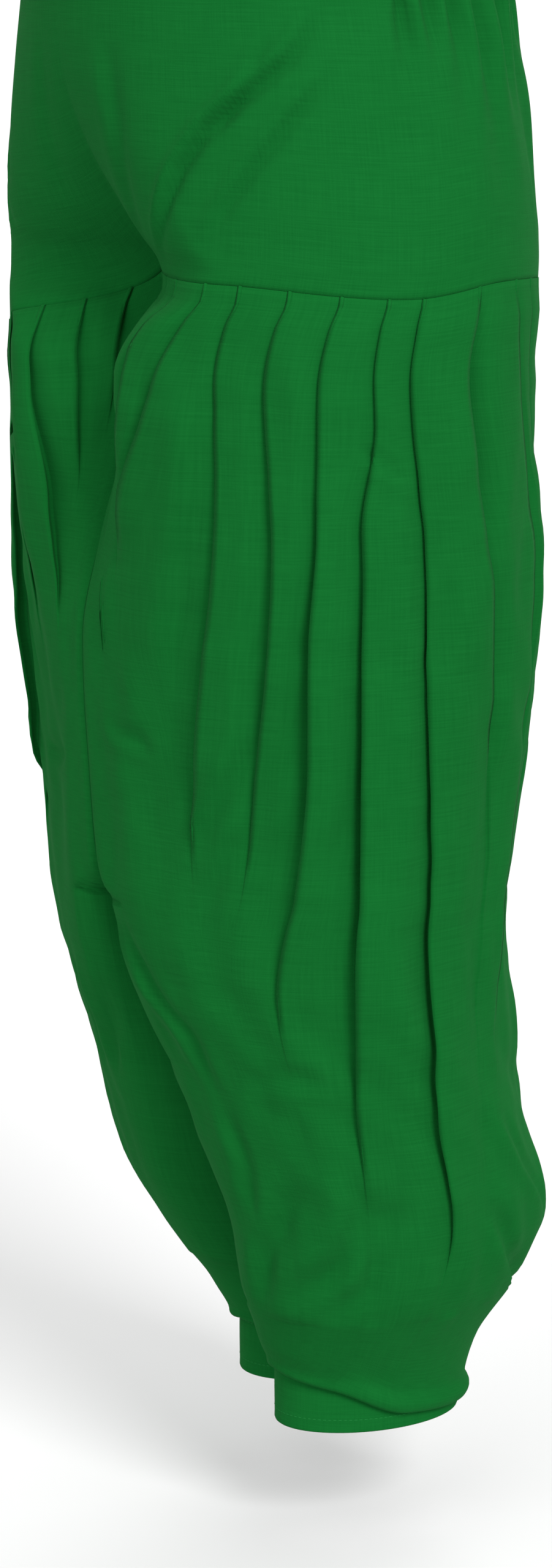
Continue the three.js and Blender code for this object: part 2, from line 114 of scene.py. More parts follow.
# Rows of a leg: so many down its pleated top, then by height from, to and step, closer at the crotch
TOP_ROWS = 22
ROW_RUNS = [(PLEAT_START - 5.5, -556, -5.5), (-558, -593, -2.8), (-597, ROWS_END, -5.6)]

# The rolled foot of a leg over its cuff: how far it stands out, outside and between the legs, and
# the height above the roll's lowest point where it begins
ROLL_OUTSIDE = 8.0
ROLL_INSIDE = 5.5
ROLL_TOP = 18

# Stitches: pitch, size, how deep the thread lies, and the grid rows that are sewn
STITCH_PITCH = 3.4
STITCH_SIZE = (2.5, 0.55, 0.4)
STITCH_SUNK = 0.02
CASING_SEAM_ROWS = (6, 8)
CUFF_SEAM_ROWS = (6, 11)

# Level sections of the left half. inner, outer: x where it starts and ends; middle, level: x and y of
# its centre; front, back: y of its front and back; the powers shape its inner and outer quarters;
# dimple, dimpleWidth: how far the front is drawn in at the centre, and how far to each side; corner:
# where the pleated part starts, in degrees from the side. Above the crotch the section is cut off at
# the centre seam.
SECTIONS = [
    ["z", "inner", "outer", "middle", "front", "back", "level", "innerPower", "outerPower", "dimple",
     "dimpleWidth", "corner"],
    [20, -170, 170, 0, -146, 130, 0, 2, 2, 0, 66, 83],
    [-20, -176, 176, 0, -150, 135, 0, 2, 2, 0, 66, 83],
    [-60, -187, 187, 0, -152, 141, 0, 2, 2, 4, 86, 83],
    [-110, -197, 197, 0, -154, 148, 0, 2, 2, 23, 98, 83],
    [-150, -203, 203, 0, -154, 152, 0, 2, 2, 48, 112, 83],
    [-168, -204, 204, 0, -153, 154, 0, 2, 2, 62, 122, 83],
    [-183, -205, 205, 0, -153, 154, 0, 2, 2, 76, 134, 83],
    [-200, -205, 205, 0, -153, 153, 0, 2, 2, 84, 130, 83],
    [-215, -206, 206, 0, -153, 151, 0, 2, 2, 80, 100, 83],
    [-250, -206, 206, 0, -152, 144, 0, 2, 2, 70, 68, 83],
    [-300, -205, 205, 0, -149, 143, 0, 2, 2, 46, 66, 83],
    [-360, -204, 204, 0, -145, 145, 0, 2, 2, 20, 66, 83],
    [-420, -199, 199, 0, -141, 144, 0, 2, 2, 3, 66, 83],
    [-480, -180, 192, 2, -136, 144, 0, 2, 1.95, 0, 66, 83.5],
    [-540, -78, 185, 8, -132, 145, 0, 2.2, 1.9, 0, 66, 84.5],
    [-572, -22, 182, 13, -130, 144, 0, 2.3, 1.9, 0, 66, 85.5],
    [-590, 0.2, 180, 17, -128, 141, 0, 2.5, 1.9, 0, 66, 86.5],
    [-640, 3, 175, 28, -117, 140, 5, 2.6, 1.9, 0, 66, 88.5],
    [-700, 4, 168, 44, -92, 138, 15, 2.6, 2, 0, 66, 90],
    [-760, 5, 162, 58, -73, 150, 28, 2.4, 2, 0, 66, 90],
    [-810, 6, 153, 64, -55, 161, 38, 2.3, 2, 0, 66, 90],
    [-850, 6, 140, 63, -39, 156, 46, 2.2, 2, 0, 66, 90],
    [-880, 5, 122, 58, -22, 142, 54, 2.1, 2, 0, 66, 90],
    [-910, 3, 104, 53, -10, 130, 60, 2, 2, 0, 66, 90],
]

# Height of the seam between yoke and legs, by the direction from the centre front through the left side.
YOKE_SEAM = [
    ["angle", "z"],
    [0, -189],
    [50, -190],
    [85, -198],
    [105, -191],
    [140, -198],
    [180, -205],
    [250, -222],
    [305, -235],
    [335, -216],
    [360, -189],
]

# Height of the rolled foot of a leg, by the angle round the ankle from the front through the outer side.
LEG_FOOT = [
    ["angle", "z"],
    [0, -906],
    [50, -916],
    [90, -934],
    [150, -938],
    [200, -932],
    [270, -914],
    [360, -906],
]

# Knife pleats of each leg, from the centre front round the side to the centre back: the way the
# folded edge faces, 1 forward and -1 backward; how far it stands out where it is deepest; the height
# of that; the height where the pleat has closed; and the edge's places at the place heights, in
# thousandths of the way round the pleated part.
PLACE_HEIGHTS = [-200, -270, -340, -410, -480, -560, -640, -720, -800]
LEFT_PLEATS = [
    [1, 3.5, -235, -300, 45, 22, 8, 3, 16, 20, 20, 20, 20],
    [1, 4, -240, -312, 96, 56, 22, 10, 40, 50, 50, 55, 60],
    [1, 6, -255, -340, 145, 100, 40, 18, 68, 82, 90, 95, 100],
    [1, 7.5, -270, -390, 210, 145, 62, 35, 100, 120, 130, 135, 145],
    [1, 9, -460, -575, 256, 238, 224, 206, 189, 165, 165, 165, 175],
    [1, 10, -400, -600, 317, 302, 300, 294, 275, 248, 215, 210, 215],
    [1, 14, -470, -700, 378, 365, 353, 342, 343, 325, 278, 262, 268],
    [1, 13, -570, -800, 434, 430, 404, 403, 405, 405, 392, 353, 318],
    [1, 8, -690, -862, 477, 474, 480, 484, 492, 502, 505, 492, 490],
    [-1, 12, -300, -540, 562, 545, 556, 588, 610, 622, 615, 610, 600],
    [-1, 11, -470, -720, 640, 672, 694, 694, 686, 680, 675, 670, 660],
    [-1, 12, -430, -640, 692, 716, 738, 742, 738, 736, 734, 730, 718],
    [-1, 9, -470, -590, 748, 770, 790, 800, 802, 800, 798, 790, 775],
    [-1, 7, -300, -420, 796, 830, 856, 866, 864, 858, 850, 840, 820],
    [-1, 6, -280, -390, 846, 874, 896, 904, 900, 895, 890, 880, 870],
    [-1, 6, -270, -360, 900, 920, 934, 940, 934, 930, 926, 920, 915],
    [-1, 5, -260, -330, 954, 965, 970, 972, 968, 965, 962, 960, 960],
]
RIGHT_PLEATS = [
    [1, 4, -228, -300, -8, -30, -26, -20, 0, 12, 20, 20, 20],
    [1, 5.5, -250, -345, 48, 12, -8, -8, 22, 36, 46, 50, 55],
    [1, 9, -330, -430, 100, 73, 24, 6, 50, 66, 78, 85, 90],
    [1, 4.5, -330, -450, 155, 140, 112, 90, 100, 118, 130, 135, 145],
    [1, 9, -450, -580, 212, 206, 200, 190, 182, 175, 175, 180, 190],
    [1, 11, -420, -610, 272, 276, 284, 276, 262, 246, 232, 230, 235],
    [1, 13, -480, -680, 340, 344, 348, 340, 334, 315, 290, 276, 275],
    [1, 12, -560, -790, 410, 414, 418, 412, 410, 404, 388, 360, 330],
    [1, 8, -680, -860, 478, 475, 480, 488, 495, 505, 512, 505, 500],
    [-1, 12, -320, -550, 566, 553, 564, 592, 610, 618, 610, 605, 600],
    [-1, 12, -480, -730, 640, 662, 680, 684, 684, 680, 674, 668, 660],
    [-1, 11, -420, -630, 696, 714, 730, 738, 738, 738, 736, 730, 718],
    [-1, 9, -460, -600, 750, 770, 788, 798, 800, 800, 800, 790, 775],
    [-1, 7, -310, -430, 800, 832, 856, 864, 862, 856, 850, 840, 820],
    [-1, 6, -285, -400, 850, 876, 896, 902, 898, 894, 890, 880, 870],
    [-1, 6, -275, -370, 902, 922, 934, 938, 932, 928, 926, 920, 915],
    [-1, 5, -260, -340, 955, 965, 970, 972, 968, 965, 962, 960, 960],
]

# Gathers that the drawstring draws up: place in degrees from the centre front through the left side,
# half width in degrees, depth, and the height at which the gather has faded out.
GATHERS = [
    [84.6, 1.0, 2.6, -52],
    [87.6, 1.3, 7.0, -84],
    [94.4, 1.6, 3.8, -98],
    [101, 1.7, 4.8, -135],
    [109.5, 2.0, 6.1, -170],
    [120.5, 2.3, 5.8, -135],
    [128, 1.9, 7.0, -150],
    [134, 1.8, 4.0, -100],
    [143, 2.3, 6.0, -165],
    [153, 2.1, 4.5, -115],
    [162, 2.4, 5.8, -150],
    [171, 1.9, 4.2, -105],
    [180, 2.3, 5.2, -140],
    [190, 2.0, 4.4, -110],
    [199, 2.4, 6.1, -160],
    [208, 1.9, 4.1, -100],
    [217, 2.2, 5.6, -150],
    [227, 2.3, 4.6, -115],
    [236, 1.9, 5.4, -140],
    [245, 2.1, 4.2, -100],
    [254, 2.2, 5.8, -155],
    [263, 1.8, 3.9, -95],
    [270, 1.6, 4.9, -110],
    [275, 1.1, 2.2, -60],
]


def curve(xs, ys):
    """Smooth curve through rising xs that never overshoots the values it passes through."""
    xs = np.array(xs, float)
    ys = np.array(ys, float)
    run = np.diff(xs)
    slope = np.diff(ys) / run
    lean = np.empty_like(ys)
    lean[0] = slope[0]
    lean[-1] = slope[-1]
    for i in range(1, len(xs) - 1):
        a = 2 * run[i] + run[i - 1]
        b = run[i] + 2 * run[i - 1]
        rising = slope[i - 1] * slope[i] > 0
        lean[i] = (a + b) / (a / slope[i - 1] + b / slope[i]) if rising else 0

    def at(x):
        x = np.clip(x, xs[0], xs[-1])
        i = np.clip(np.searchsorted(xs, x, side="right") - 1, 0, len(run) - 1)
        t = (x - xs[i]) / run[i]
        low = (1 + 2 * t) * (1 - t) ** 2 * ys[i] + t * (1 - t) ** 2 * run[i] * lean[i]
        return low + t * t * (3 - 2 * t) * ys[i + 1] - t * t * (1 - t) * run[i] * lean[i + 1]

    return at


def curves(table):
    """A table whose first row names its columns, as one curve for each column after the first."""
    rows = sorted(table[1:], key=lambda row: row[0])
    xs = [row[0] for row in rows]
    return {name: curve(xs, [row[k + 1] for row in rows]) for k, name in enumerate(table[0][1:])}


SECTION = curves(SECTIONS)
YOKE_SEAM_Z = curves(YOKE_SEAM)["z"]
LEG_FOOT_Z = curves(LEG_FOOT)["z"]


def smooth(t):
    """0 to 1 with soft ends."""
    k = np.clip(t, 0, 1)
    return k * k * (3 - 2 * k)


def mix(a, b, t):
    """Value t of the way from a to b."""
    return a + (b - a) * t


class Form:
    """The left half's form: its level outlines, cut at the centre seam above the crotch."""

    STEPS = 1440
    HEIGHT_STEP = 1.5
    SHARES = 1201

    def __init__(self, top, foot, cut):
        self.heights = np.arange(foot, top + self.HEIGHT_STEP, self.HEIGHT_STEP)
        lines = [self.outline(z, cut) for z in self.heights]
        kept = [np.array([line[k] for line in lines]) for k in range(7)]
        self.x, self.y, self.out_x, self.out_y, self.length, self.begins, self.ends = kept

    def outline(self, z, cut):
        """Places and outward directions at even shares of an outline, its length, its corners' runs."""
        at = {name: float(f(z)) for name, f in SECTION.items()}
        degrees = np.linspace(-180, 180, self.STEPS + 1)
        c = np.cos(np.radians(degrees))
        s = np.sin(np.radians(degrees))
        power = 2 / np.where(c >= 0, at["outerPower"], at["innerPower"])
        reach = np.where(c >= 0, at["outer"] - at["middle"], at["middle"] - at["inner"])
        x = at["middle"] + np.sign(c) * reach * np.abs(c) ** power
        depth = np.where(s < 0, at["level"] - at["front"], at["back"] - at["level"])
        y = at["level"] + np.sign(s) * depth * np.abs(s) ** power
        near = np.maximum(0, 1 - np.abs(x) / at["dimpleWidth"])
        y = np.where(s < 0, y + at["dimple"] * near**DIMPLE_POWER, y)
        kept = np.flatnonzero(x >= cut)
        first, last = kept[0], kept[-1]
        line = [values[first : last + 1] for values in (x, y, degrees)]

        def cut_between(beyond, kept):
            t = (cut - x[beyond]) / (x[kept] - x[beyond])
            return [cut], [mix(y[beyond], y[kept], t)], [mix(degrees[beyond], degrees[kept], t)]

        if first > 0:
            line = zip(cut_between(first - 1, first), line, cut_between(last + 1, last))
            line = [np.concatenate(parts) for parts in line]
        xs, ys, ds = line
        run = np.concatenate([[0], np.cumsum(np.hypot(np.diff(xs), np.diff(ys)))])
        even = np.linspace(0, run[-1], self.SHARES)
        px = np.interp(even, run, xs)
        py = np.interp(even, run, ys)
        tx = np.gradient(px)
        ty = np.gradient(py)
        size = np.hypot(tx, ty)
        corners = np.interp([-at["corner"], at["corner"]], ds, run)
        return px, py, ty / size, -tx / size, run[-1], corners[0], corners[1]

    def value(self, kept, z):
        """A value kept for each height, at any heights."""
        return np.interp(z, self.heights, kept)

    def place(self, z, distance, lift):
        """Points at heights z and distances along the outline, moved out square to it by lift."""
        row = np.clip((z - self.heights[0]) / self.HEIGHT_STEP, 0, len(self.heights) - 1.001)
        low = row.astype(int)
        t = row - low
        share = np.clip(distance / self.value(self.length, z), 0, 1) * (self.SHARES - 1.001)
        left = share.astype(int)
        s = share - left

        def sample(grid):
            under = mix(grid[low, left], grid[low, left + 1], s)
            over = mix(grid[low + 1, left], grid[low + 1, left + 1], s)
            return mix(under, over, t)

        out_x = sample(self.out_x)
        out_y = sample(self.out_y)
        size = np.maximum(np.hypot(out_x, out_y), 1e-6)
        return sample(self.x) + lift * out_x / size, sample(self.y) + lift * out_y / size


def seam_height(x, y, turned):
    """Height of the yoke's seam above a place; turned: the place is seen as its mirror image."""
    direction = np.degrees(np.arctan2(x, -y)) % 360
    return YOKE_SEAM_Z((360 - direction) % 360 if turned else direction)


def on_seam(place, shape, turned):
    """Heights of the seam, found again from the places until the two agree."""
    z = np.full(shape, float(PLACE_HEIGHTS[0]))
    for _ in range(6):
        x, y = place(z)
        z = seam_height(x, y, turned)
    return z


def spline_weights(count, stops):
    """Weights that blend count controls into the points of a cubic spline at the given stops."""
    weights = np.zeros((len(stops), count))
    for row, stop in enumerate(stops):
        i = min(int(stop), count - 2)
        t = stop - i
        four = [(1 - t) ** 3, 3 * t**3 - 6 * t**2 + 4, -3 * t**3 + 3 * t**2 + 3 * t + 1, t**3]
        for k, share in enumerate(four):
            j = i - 1 + k
            if j < 0:
                weights[row, 0] += 2 * share / 6
                weights[row, 1] -= share / 6
            elif j >= count:
                weights[row, count - 1] += 2 * share / 6
                weights[row, count - 2] -= share / 6
            else:
                weights[row, j] += share / 6
    return weights


CREASE_TAPER = 0.3
RIDGE_OFF = 1.7


def crease_field(across, down, creases):
    """How far the listed creases move a cloth: across and down are each point's place on it.

    A crease is its depth, half width and ridge, then the across and down of each of its places: a
    trough of that depth along the places, with a ridge beside it on the right-hand side as one goes
    along them, as a share of the depth.
    """
    field = np.zeros_like(across)
    for depth, width, ridge, *flat in creases:
        places = list(zip(flat[::2], flat[1::2]))
        nearest = np.full_like(across, np.inf)
        signed = np.zeros_like(across)
        along = np.zeros_like(across)
        spans = [math.dist(a, b) for a, b in zip(places, places[1:])]
        total = sum(spans)
        done = 0.0
        for (ax, az), (bx, bz), span in zip(places, places[1:], spans):
            dx = (bx - ax) / span
            dz = (bz - az) / span
            t = np.clip((across - ax) * dx + (down - az) * dz, 0, span)
            off_x = across - ax - t * dx
            off_z = down - az - t * dz
            far = np.hypot(off_x, off_z)
            side = dx * off_z - dz * off_x
            closer = far < nearest
            nearest = np.where(closer, far, nearest)
            signed = np.where(closer, np.copysign(far, -side), signed)
            along = np.where(closer, (done + t) / total, along)
            done += span
        taper = smooth(along / CREASE_TAPER) * smooth((1 - along) / CREASE_TAPER)
        trough = np.exp(-((nearest / width) ** 2))
        beside = ridge * np.exp(-(((signed - RIDGE_OFF * width) / width) ** 2))
        field += depth * taper * (beside - trough)
    return field


# Soft waves of the hanging cloth: depth, length across, length down, slant across for each unit down,
# and phase in turns. They sway and swell as they go down, and fade towards the yoke and the seams.
SWAY = 0.35
SWELL = 0.4
SWELL_TALL = 1.7
SWELL_ACROSS = 390
WAVES_FROM_YOKE = 60
WAVES_FROM_SEAM = 30
WAVES = [
    [1.5, 118, 620, 0.10, 0.10],
    [1.2, 71, 410, -0.16, 0.43],
    [0.8, 43, 260, 0.22, 0.71],
    [0.5, 27, 190, -0.30, 0.22],
    [0.5, 205, 74, 0.35, 0.57],
]


def drape_field(across, down, turn):
    """Soft uneven waves, so that no panel is quite flat; turn shifts them for another piece."""
    field = np.zeros_like(across)
    for depth, wide, tall, slant, phase in WAVES:
        leaning = (across + slant * down) / wide + turn
        swaying = SWAY * np.sin(2 * math.pi * (down / tall + phase))
        rising = down / (SWELL_TALL * tall) + 2 * phase + across / SWELL_ACROSS
        swelling = 1 - SWELL + SWELL * np.sin(2 * math.pi * rising)
        field += depth * swelling * np.sin(2 * math.pi * (leaning + swaying + phase))
    return field


GATHER_SPREAD = 1.4
GATHER_CREST = 0.55
GATHER_AT_TOP = 0.55


def gather_field(degrees, z):
    """How far the drawstring's gathers move the cloth in or out."""
    field = np.zeros_like(z)
    up = (z - CASING_FOOT) / (CASING_TOP - CASING_FOOT)
    for place, width, depth, fade in GATHERS:
        off = (degrees - place + 180) % 360 - 180
        drop = np.clip((CASING_FOOT - z) / (CASING_FOOT - fade), 0, 1)
        wide = width * (1 + GATHER_SPREAD * drop)
        strength = depth * (1 - smooth(drop)) * np.where(up > 0, mix(1.0, GATHER_AT_TOP, up), 1)
        trough = np.exp(-((off / wide) ** 2))
        crest = GATHER_CREST * np.exp(-(((np.abs(off) - 2 * wide) / wide) ** 2))
        field += strength * (crest - trough)
    return field


def outward(points, ring):
    """Outward directions of a grid of points, rows from the top down."""
    if ring:
        across = np.roll(points, -1, 1) - np.roll(points, 1, 1)
    else:
        across = np.gradient(points, axis=1)
    down = np.gradient(points, axis=0)
    normal = np.cross(down, across)
    return normal / np.maximum(np.linalg.norm(normal, axis=2, keepdims=True), 1e-9)


def through(rows, steps):
    """Grid rows that pass smoothly through the given rows, with so many steps to each span."""
    rows = np.array(rows)
    before = np.concatenate([[2 * rows[0] - rows[1]], rows, [2 * rows[-1] - rows[-2]]])
    made = []
    for i, count in enumerate(steps):
        a, b, c, d = before[i : i + 4]
        for t in np.arange(count) / count:
            made.append(0.5 * (2 * b + (c - a) * t + (2 * a - 5 * b + 4 * c - d) * t**2
                               + (3 * b - a - 3 * c + d) * t**3))
    made.append(rows[-1])
    return np.array(made)


def new_object(name, mesh):
    """An object for a mesh, linked to the scene."""
    obj = bpy.data.objects.new(name, mesh)
    bpy.context.scene.collection.objects.link(obj)
    return obj


def cloth_shell(name, points, ring, thickness, mirrored=False):
    """A thin closed shell from a grid of outer points in millimetres, rows from the top down."""
    down, across = points.shape[:2]
    places = points.copy()
    if mirrored:
        places[:, :, 0] *= -1
    cells = across if ring else across - 1
    r, c = np.meshgrid(np.arange(down - 1), np.arange(cells), indexing="ij")
    a = r * across + c
    b = r * across + (c + 1) % across
    quads = np.stack([a, a + across, b + across, b], -1).reshape(-1, 4)
    if mirrored:
        quads = quads[:, ::-1]
    mesh = bpy.data.meshes.new(name)
    mesh.from_pydata((places.reshape(-1, 3) * MM).tolist(), [], quads.tolist())
    mesh.update()
    steps_across = np.linalg.norm(np.diff(points, axis=1), axis=2).mean(0)
    steps_down = np.linalg.norm(np.diff(points, axis=0), axis=2).mean(1)
    u = np.concatenate([[0], np.cumsum(steps_across)]) * MM
    v = -np.concatenate([[0], np.cumsum(steps_down)]) * MM
    if ring:
        u = np.append(u, u[-1] + np.linalg.norm(points[:, 0] - points[:, -1], axis=1).mean() * MM)
    grain = mesh.uv_layers.new(name="grain")
    corner_u = np.stack([u[c], u[c], u[c + 1], u[c + 1]], -1).reshape(-1, 4)
    corner_v = np.stack([v[r], v[r + 1], v[r + 1], v[r]], -1).reshape(-1, 4)
    if mirrored:
        corner_u = corner_u[:, ::-1]
        corner_v = corner_v[:, ::-1]
    grain.data.foreach_set("uv", np.stack([corner_u, corner_v], -1).astype(np.float32).ravel())
    mesh.polygons.foreach_set("use_smooth", np.ones(len(mesh.polygons), bool))
    obj = new_object(name, mesh)
    wall = obj.modifiers.new("wall", "SOLIDIFY")
    wall.thickness = thickness
    wall.offset = -1
    wall.use_quality_normals = True
    apply_modifiers(obj)
    return obj


def select_only(obj):
    """Makes obj the one selected and active object."""
    bpy.ops.object.select_all(action="DESELECT")
    obj.select_set(True)
    bpy.context.view_layer.objects.active = obj


def apply_modifiers(obj):
    """Applies all of an object's modifiers."""
    select_only(obj)
    for modifier in list(obj.modifiers):
        bpy.ops.object.modifier_apply(modifier=modifier.name)


def ring_point(form, degrees, z, lift):
    """Points of the whole hips, by the angle from the centre front through the left side."""
    left = degrees <= 180
    share = np.where(left, degrees, 360 - degrees) / 180
    x, y = form.place(z, share * form.value(form.length, z), lift)
    x = np.where(degrees % 180 == 0, 0, x)
    return np.stack([np.where(left, x, -x), y, z], -1)


HIPS = Form(CASING_TOP, -260, 0)
LEG = Form(-180, -950, SEAM_GAP / 2)
RING_DEGREES = np.arange(0, 360, 1.0)
YOKE_ROWS = 56


def casing_grid():
    """Up the outside, over the top and down the inside of the drawstring's channel."""
    profile = [
        [-1.2, CASING_FOOT - 1.5],
        [0.5, CASING_FOOT + 0.6],
        [1.0, CASING_FOOT + 4],
        [0.4, CASING_FOOT + 6],
        [1.6, CASING_FOOT + 14],
        [1.8, 6],
        [0.8, CASING_TOP - 7],
        [0.2, CASING_TOP - 3],
        [-0.9, CASING_TOP - 0.6],
        [-CHANNEL_DEPTH / 2, CASING_TOP],
        [-CHANNEL_DEPTH + 0.9, CASING_TOP - 0.6],
        [-CHANNEL_DEPTH - 0.2, CASING_TOP - 3],
        [-CHANNEL_DEPTH - 1, 6],
        [-CHANNEL_DEPTH - 0.6, CASING_FOOT + 8],
        [-CHANNEL_DEPTH + 0.4, CASING_FOOT + 1.5],
    ]
    rows = []
    for out, z in profile:
        heights = np.full_like(RING_DEGREES, float(z))
        lift = out + gather_field(RING_DEGREES, np.maximum(heights, CASING_FOOT))
        rows.append(ring_point(HIPS, RING_DEGREES, heights, lift))
    return through(rows, [2] * (len(rows) - 1))


def yoke_grid():
    """The yoke, from under the casing to the seam that the pleats hang from."""

    def at(z):
        return ring_point(HIPS, RING_DEGREES, z, gather_field(RING_DEGREES, z))

    feet = on_seam(lambda z: (at(z)[:, 0], at(z)[:, 1]), RING_DEGREES.shape, False)
    rows = []
    for share in np.linspace(0, 1, YOKE_ROWS):
        z = mix(float(CASING_FOOT), feet + SEAM_GAP, share)
        lift = gather_field(RING_DEGREES, z)
        rows.append(ring_point(HIPS, RING_DEGREES, z, lift))
    grid = np.array(rows)
    normals = outward(grid, True)
    share = RING_DEGREES / 180
    across = np.where(share <= 1, share, share - 2) * HIPS.value(HIPS.length, -110)
    across = np.broadcast_to(across, grid.shape[:2])
    field = crease_field(across, grid[:, :, 2], YOKE_CREASES)
    grid = grid + normals * field[:, :, None]
    tucked = grid[-1] - EDGE_TUCK * normals[-1] - np.array([0, 0, EDGE_DROP])
    return np.concatenate([grid, [tucked]])


# Creases of the yoke: depth, half width and ridge share, then for each place its distance from the
# centre front along the level, positive to the left, and its height.
YOKE_CREASES = [
    [5.6, 4.2, 0.8, 222, -18, 190, -56, 162, -77, 134, -98, 115, -122, 100, -152, 78, -188],
    [3.8, 3.9, 0.7, 222, -56, 186, -94, 165, -118, 147, -142, 130, -172],
    [2.6, 4, 0.5, 184, -36, 157, -77, 132, -110],
    [2.6, 9, 0.4, 56, -34, 61, -100, 56, -150, 44, -184],
    [1.3, 9, 0.3, -22, -36, -33, -100, -42, -160],
    [3.8, 4.8, 0.7, -214, -26, -186, -58, -158, -96, -134, -136, -108, -178],
    [2.6, 5, 0.6, -150, -70, -124, -108, -104, -150],
    [1.5, 8, 0.4, 402, -70, 396, -120, 404, -180],
    [1.7, 7, 0.5, -440, -84, -428, -132, -436, -186],
]


class Pleat:
    """One knife pleat, as functions of the height."""

    def __init__(self, row):
        self.faces, self.swell, self.swell_at, self.ends, *places = row
        self.place = curve(PLACE_HEIGHTS[::-1], np.array(places[::-1]) / 1000)

    def lift(self, z):
        """How far the folded edge stands out."""
        rising = smooth((PLACE_HEIGHTS[0] - z) / (PLACE_HEIGHTS[0] - self.swell_at))
        falling = 1 - smooth((self.swell_at - z) / (self.swell_at - self.ends))
        return np.where(z > self.swell_at, mix(PLEAT_AT_YOKE, self.swell, rising), self.swell * falling)


# A pleat's valley, from its slope in to its edge: place in slopes or underlaps from the edge where the
# pleat is folded, place in slopes where it lies flat, and shares of the panel's and the edge's lift.
VALLEY = [
    ["slopes", "laps", "flat", "panel", "own"],
    [-1, 0, -1, 0.93, 0],
    [-0.5, 0, -0.75, 0.45, 0],
    [0, 0.35, -0.52, 0.04, 0],
    [0, 1, -0.34, 0, 0],
    [0, 1, -0.2, 0, 0.3],
    [0, 0.15, -0.08, 0, 0.8],
    [-0.1, 0, 0, 0, 1],
]
VALLEY_STEPS = [2, 2, 2, 1, 1, 1]
PANEL_STEPS = [2, 3, 3]
BOX_STEPS = [2, 3, 3, 2]
INNER_COLUMNS = 20
INNER_SPREAD = 1.5


def pleat_controls(pleats, form):
    """Controls of the pleated part of a leg's section, and how many columns follow each.

    A control is a function of the height that gives the distance along the outline and the lift.
    """
    controls = []
    steps = []
    box = next(pleat for pleat in pleats if pleat.faces < 0)

    def along(z, share):
        return mix(form.value(form.begins, z), form.value(form.ends, z), share)

    def edge_of(pleat):
        return lambda z: along(z, pleat.place(z))

    def front_edge(z):
        """Where the pleated part starts: at its corner, or half way to a pleat that lies beyond it."""
        return np.minimum(form.value(form.begins, z), 0.5 * along(z, pleats[0].place(z)))

    def back_edge(z):
        return form.value(form.ends, z)

    def wedge(z):
        """How wide the box pleat's valley is: shut at the seam, wide below it, shut again lower down."""
        opens = smooth((WEDGE_TOP - z) / WEDGE_OPENS)
        return opens * smooth((z - WEDGE_SHUT) / (WEDGE_WIDE - WEDGE_SHUT))

    def slope_of(pleat, other, z):
        gap = np.abs(along(z, pleat.place(z)) - other(z))
        wide = wedge(z) if pleat is box else 0
        wanted = SLOPE_LEAST + mix(SLOPE_SHARE, WEDGE_SHARE, wide) * pleat.lift(z)
        return np.minimum(wanted, mix(SLOPE_OF_PANEL, WEDGE_OF_PANEL, wide) * gap)

    def valley(pleat, other, other_lift):
        """The valley that pleat's edge lies over; other is the edge of the panel that slopes into it."""

        def control(row):
            slopes, laps, flat, panel, own = row

            def at(z):
                slope = slope_of(pleat, other, z)
                folded = smooth(pleat.lift(z) / FOLD_SHUT)
                lap = np.minimum(UNDERLAP + UNDERLAP_SHARE * pleat.lift(z), UNDERLAP_MOST)
                off = mix(flat * slope, slopes * slope + laps * lap, folded)
                high = mix(SHALLOW_SHARE, panel, folded) * other_lift(z) if panel else 0
                sunk = WEDGE_DEPTH * wedge(z) * (1 - own) * (1 - panel) if pleat is box else 0
                return along(z, pleat.place(z)) + pleat.faces * off, high + own * pleat.lift(z) - sunk

            return at

        made = [control(row) for row in VALLEY[1:]]
        return made if pleat.faces > 0 else made[::-1]

    def point(share, lift):
        return lambda z: (along(z, share(z)), lift(z))

    def level(z):
        return np.zeros_like(z)

    def between(a, b, t, lift):
        return point(lambda z: mix(a.place(z), b.place(z), t), lift)

    def crowned(a, b, t):
        return lambda z: BOX_CROWN + mix(a.lift(z), b.lift(z), t)

    def rounded(pleat, towards):
        return lambda z: (along(z, pleat.place(z)) + towards * EDGE_ROUND, pleat.lift(z))

    def add(made, counts):
        controls.extend(made)
        steps.extend(counts)

    add([lambda z: (front_edge(z), level(z))], [3])
    for i, pleat in enumerate(pleats):
        before = pleats[i - 1] if i else None
        after = pleats[i + 1] if i + 1 < len(pleats) else None
        if pleat.faces > 0:
            if before:
                middle = between(before, pleat, 0.42, lambda z, b=before: PANEL_FALL * b.lift(z))
                add([rounded(before, 1), middle], PANEL_STEPS[:2])
                made = valley(pleat, edge_of(before), before.lift)
            else:
                made = valley(pleat, front_edge, level)
            add(made, VALLEY_STEPS + [1])
        else:
            if before.faces > 0:
                crown = [between(before, pleat, t, crowned(before, pleat, t)) for t in (0.33, 0.67)]
                add([rounded(before, 1), *crown, rounded(pleat, -1)], BOX_STEPS[:3] + [1])
            else:
                middle = between(before, pleat, 0.58, lambda z, p=pleat: PANEL_FALL * p.lift(z))
                add([middle, rounded(pleat, -1)], [3, 1])
            if after:
                made = valley(pleat, edge_of(after), after.lift)
            else:
                made = valley(pleat, back_edge, level)
            add(made, VALLEY_STEPS[::-1] + [3])
    add([lambda z: (back_edge(z), level(z))], [])
    return controls, steps


def with_lips(grid, front, back):
    """The grid with its seam edges turned in, and lips of the reaches front and back behind them."""
    normals = outward(grid, False)

    def lip(edge, inner, normal, reach):
        beyond = (edge - inner) / np.maximum(np.linalg.norm(edge - inner, axis=1, keepdims=True), 1e-6)
        shut = edge - LIP_SUNK[1] * normal + reach[:, None] * beyond
        return (edge - LIP_SUNK[0] * normal)[:, None], shut[:, None]

    turned_front, shut_front = lip(grid[:, 0], grid[:, 2], normals[:, 1], front)
    turned_back, shut_back = lip(grid[:, -1], grid[:, -3], normals[:, -2], back)
    return np.concatenate([shut_front, turned_front, grid, turned_back, shut_back], 1)


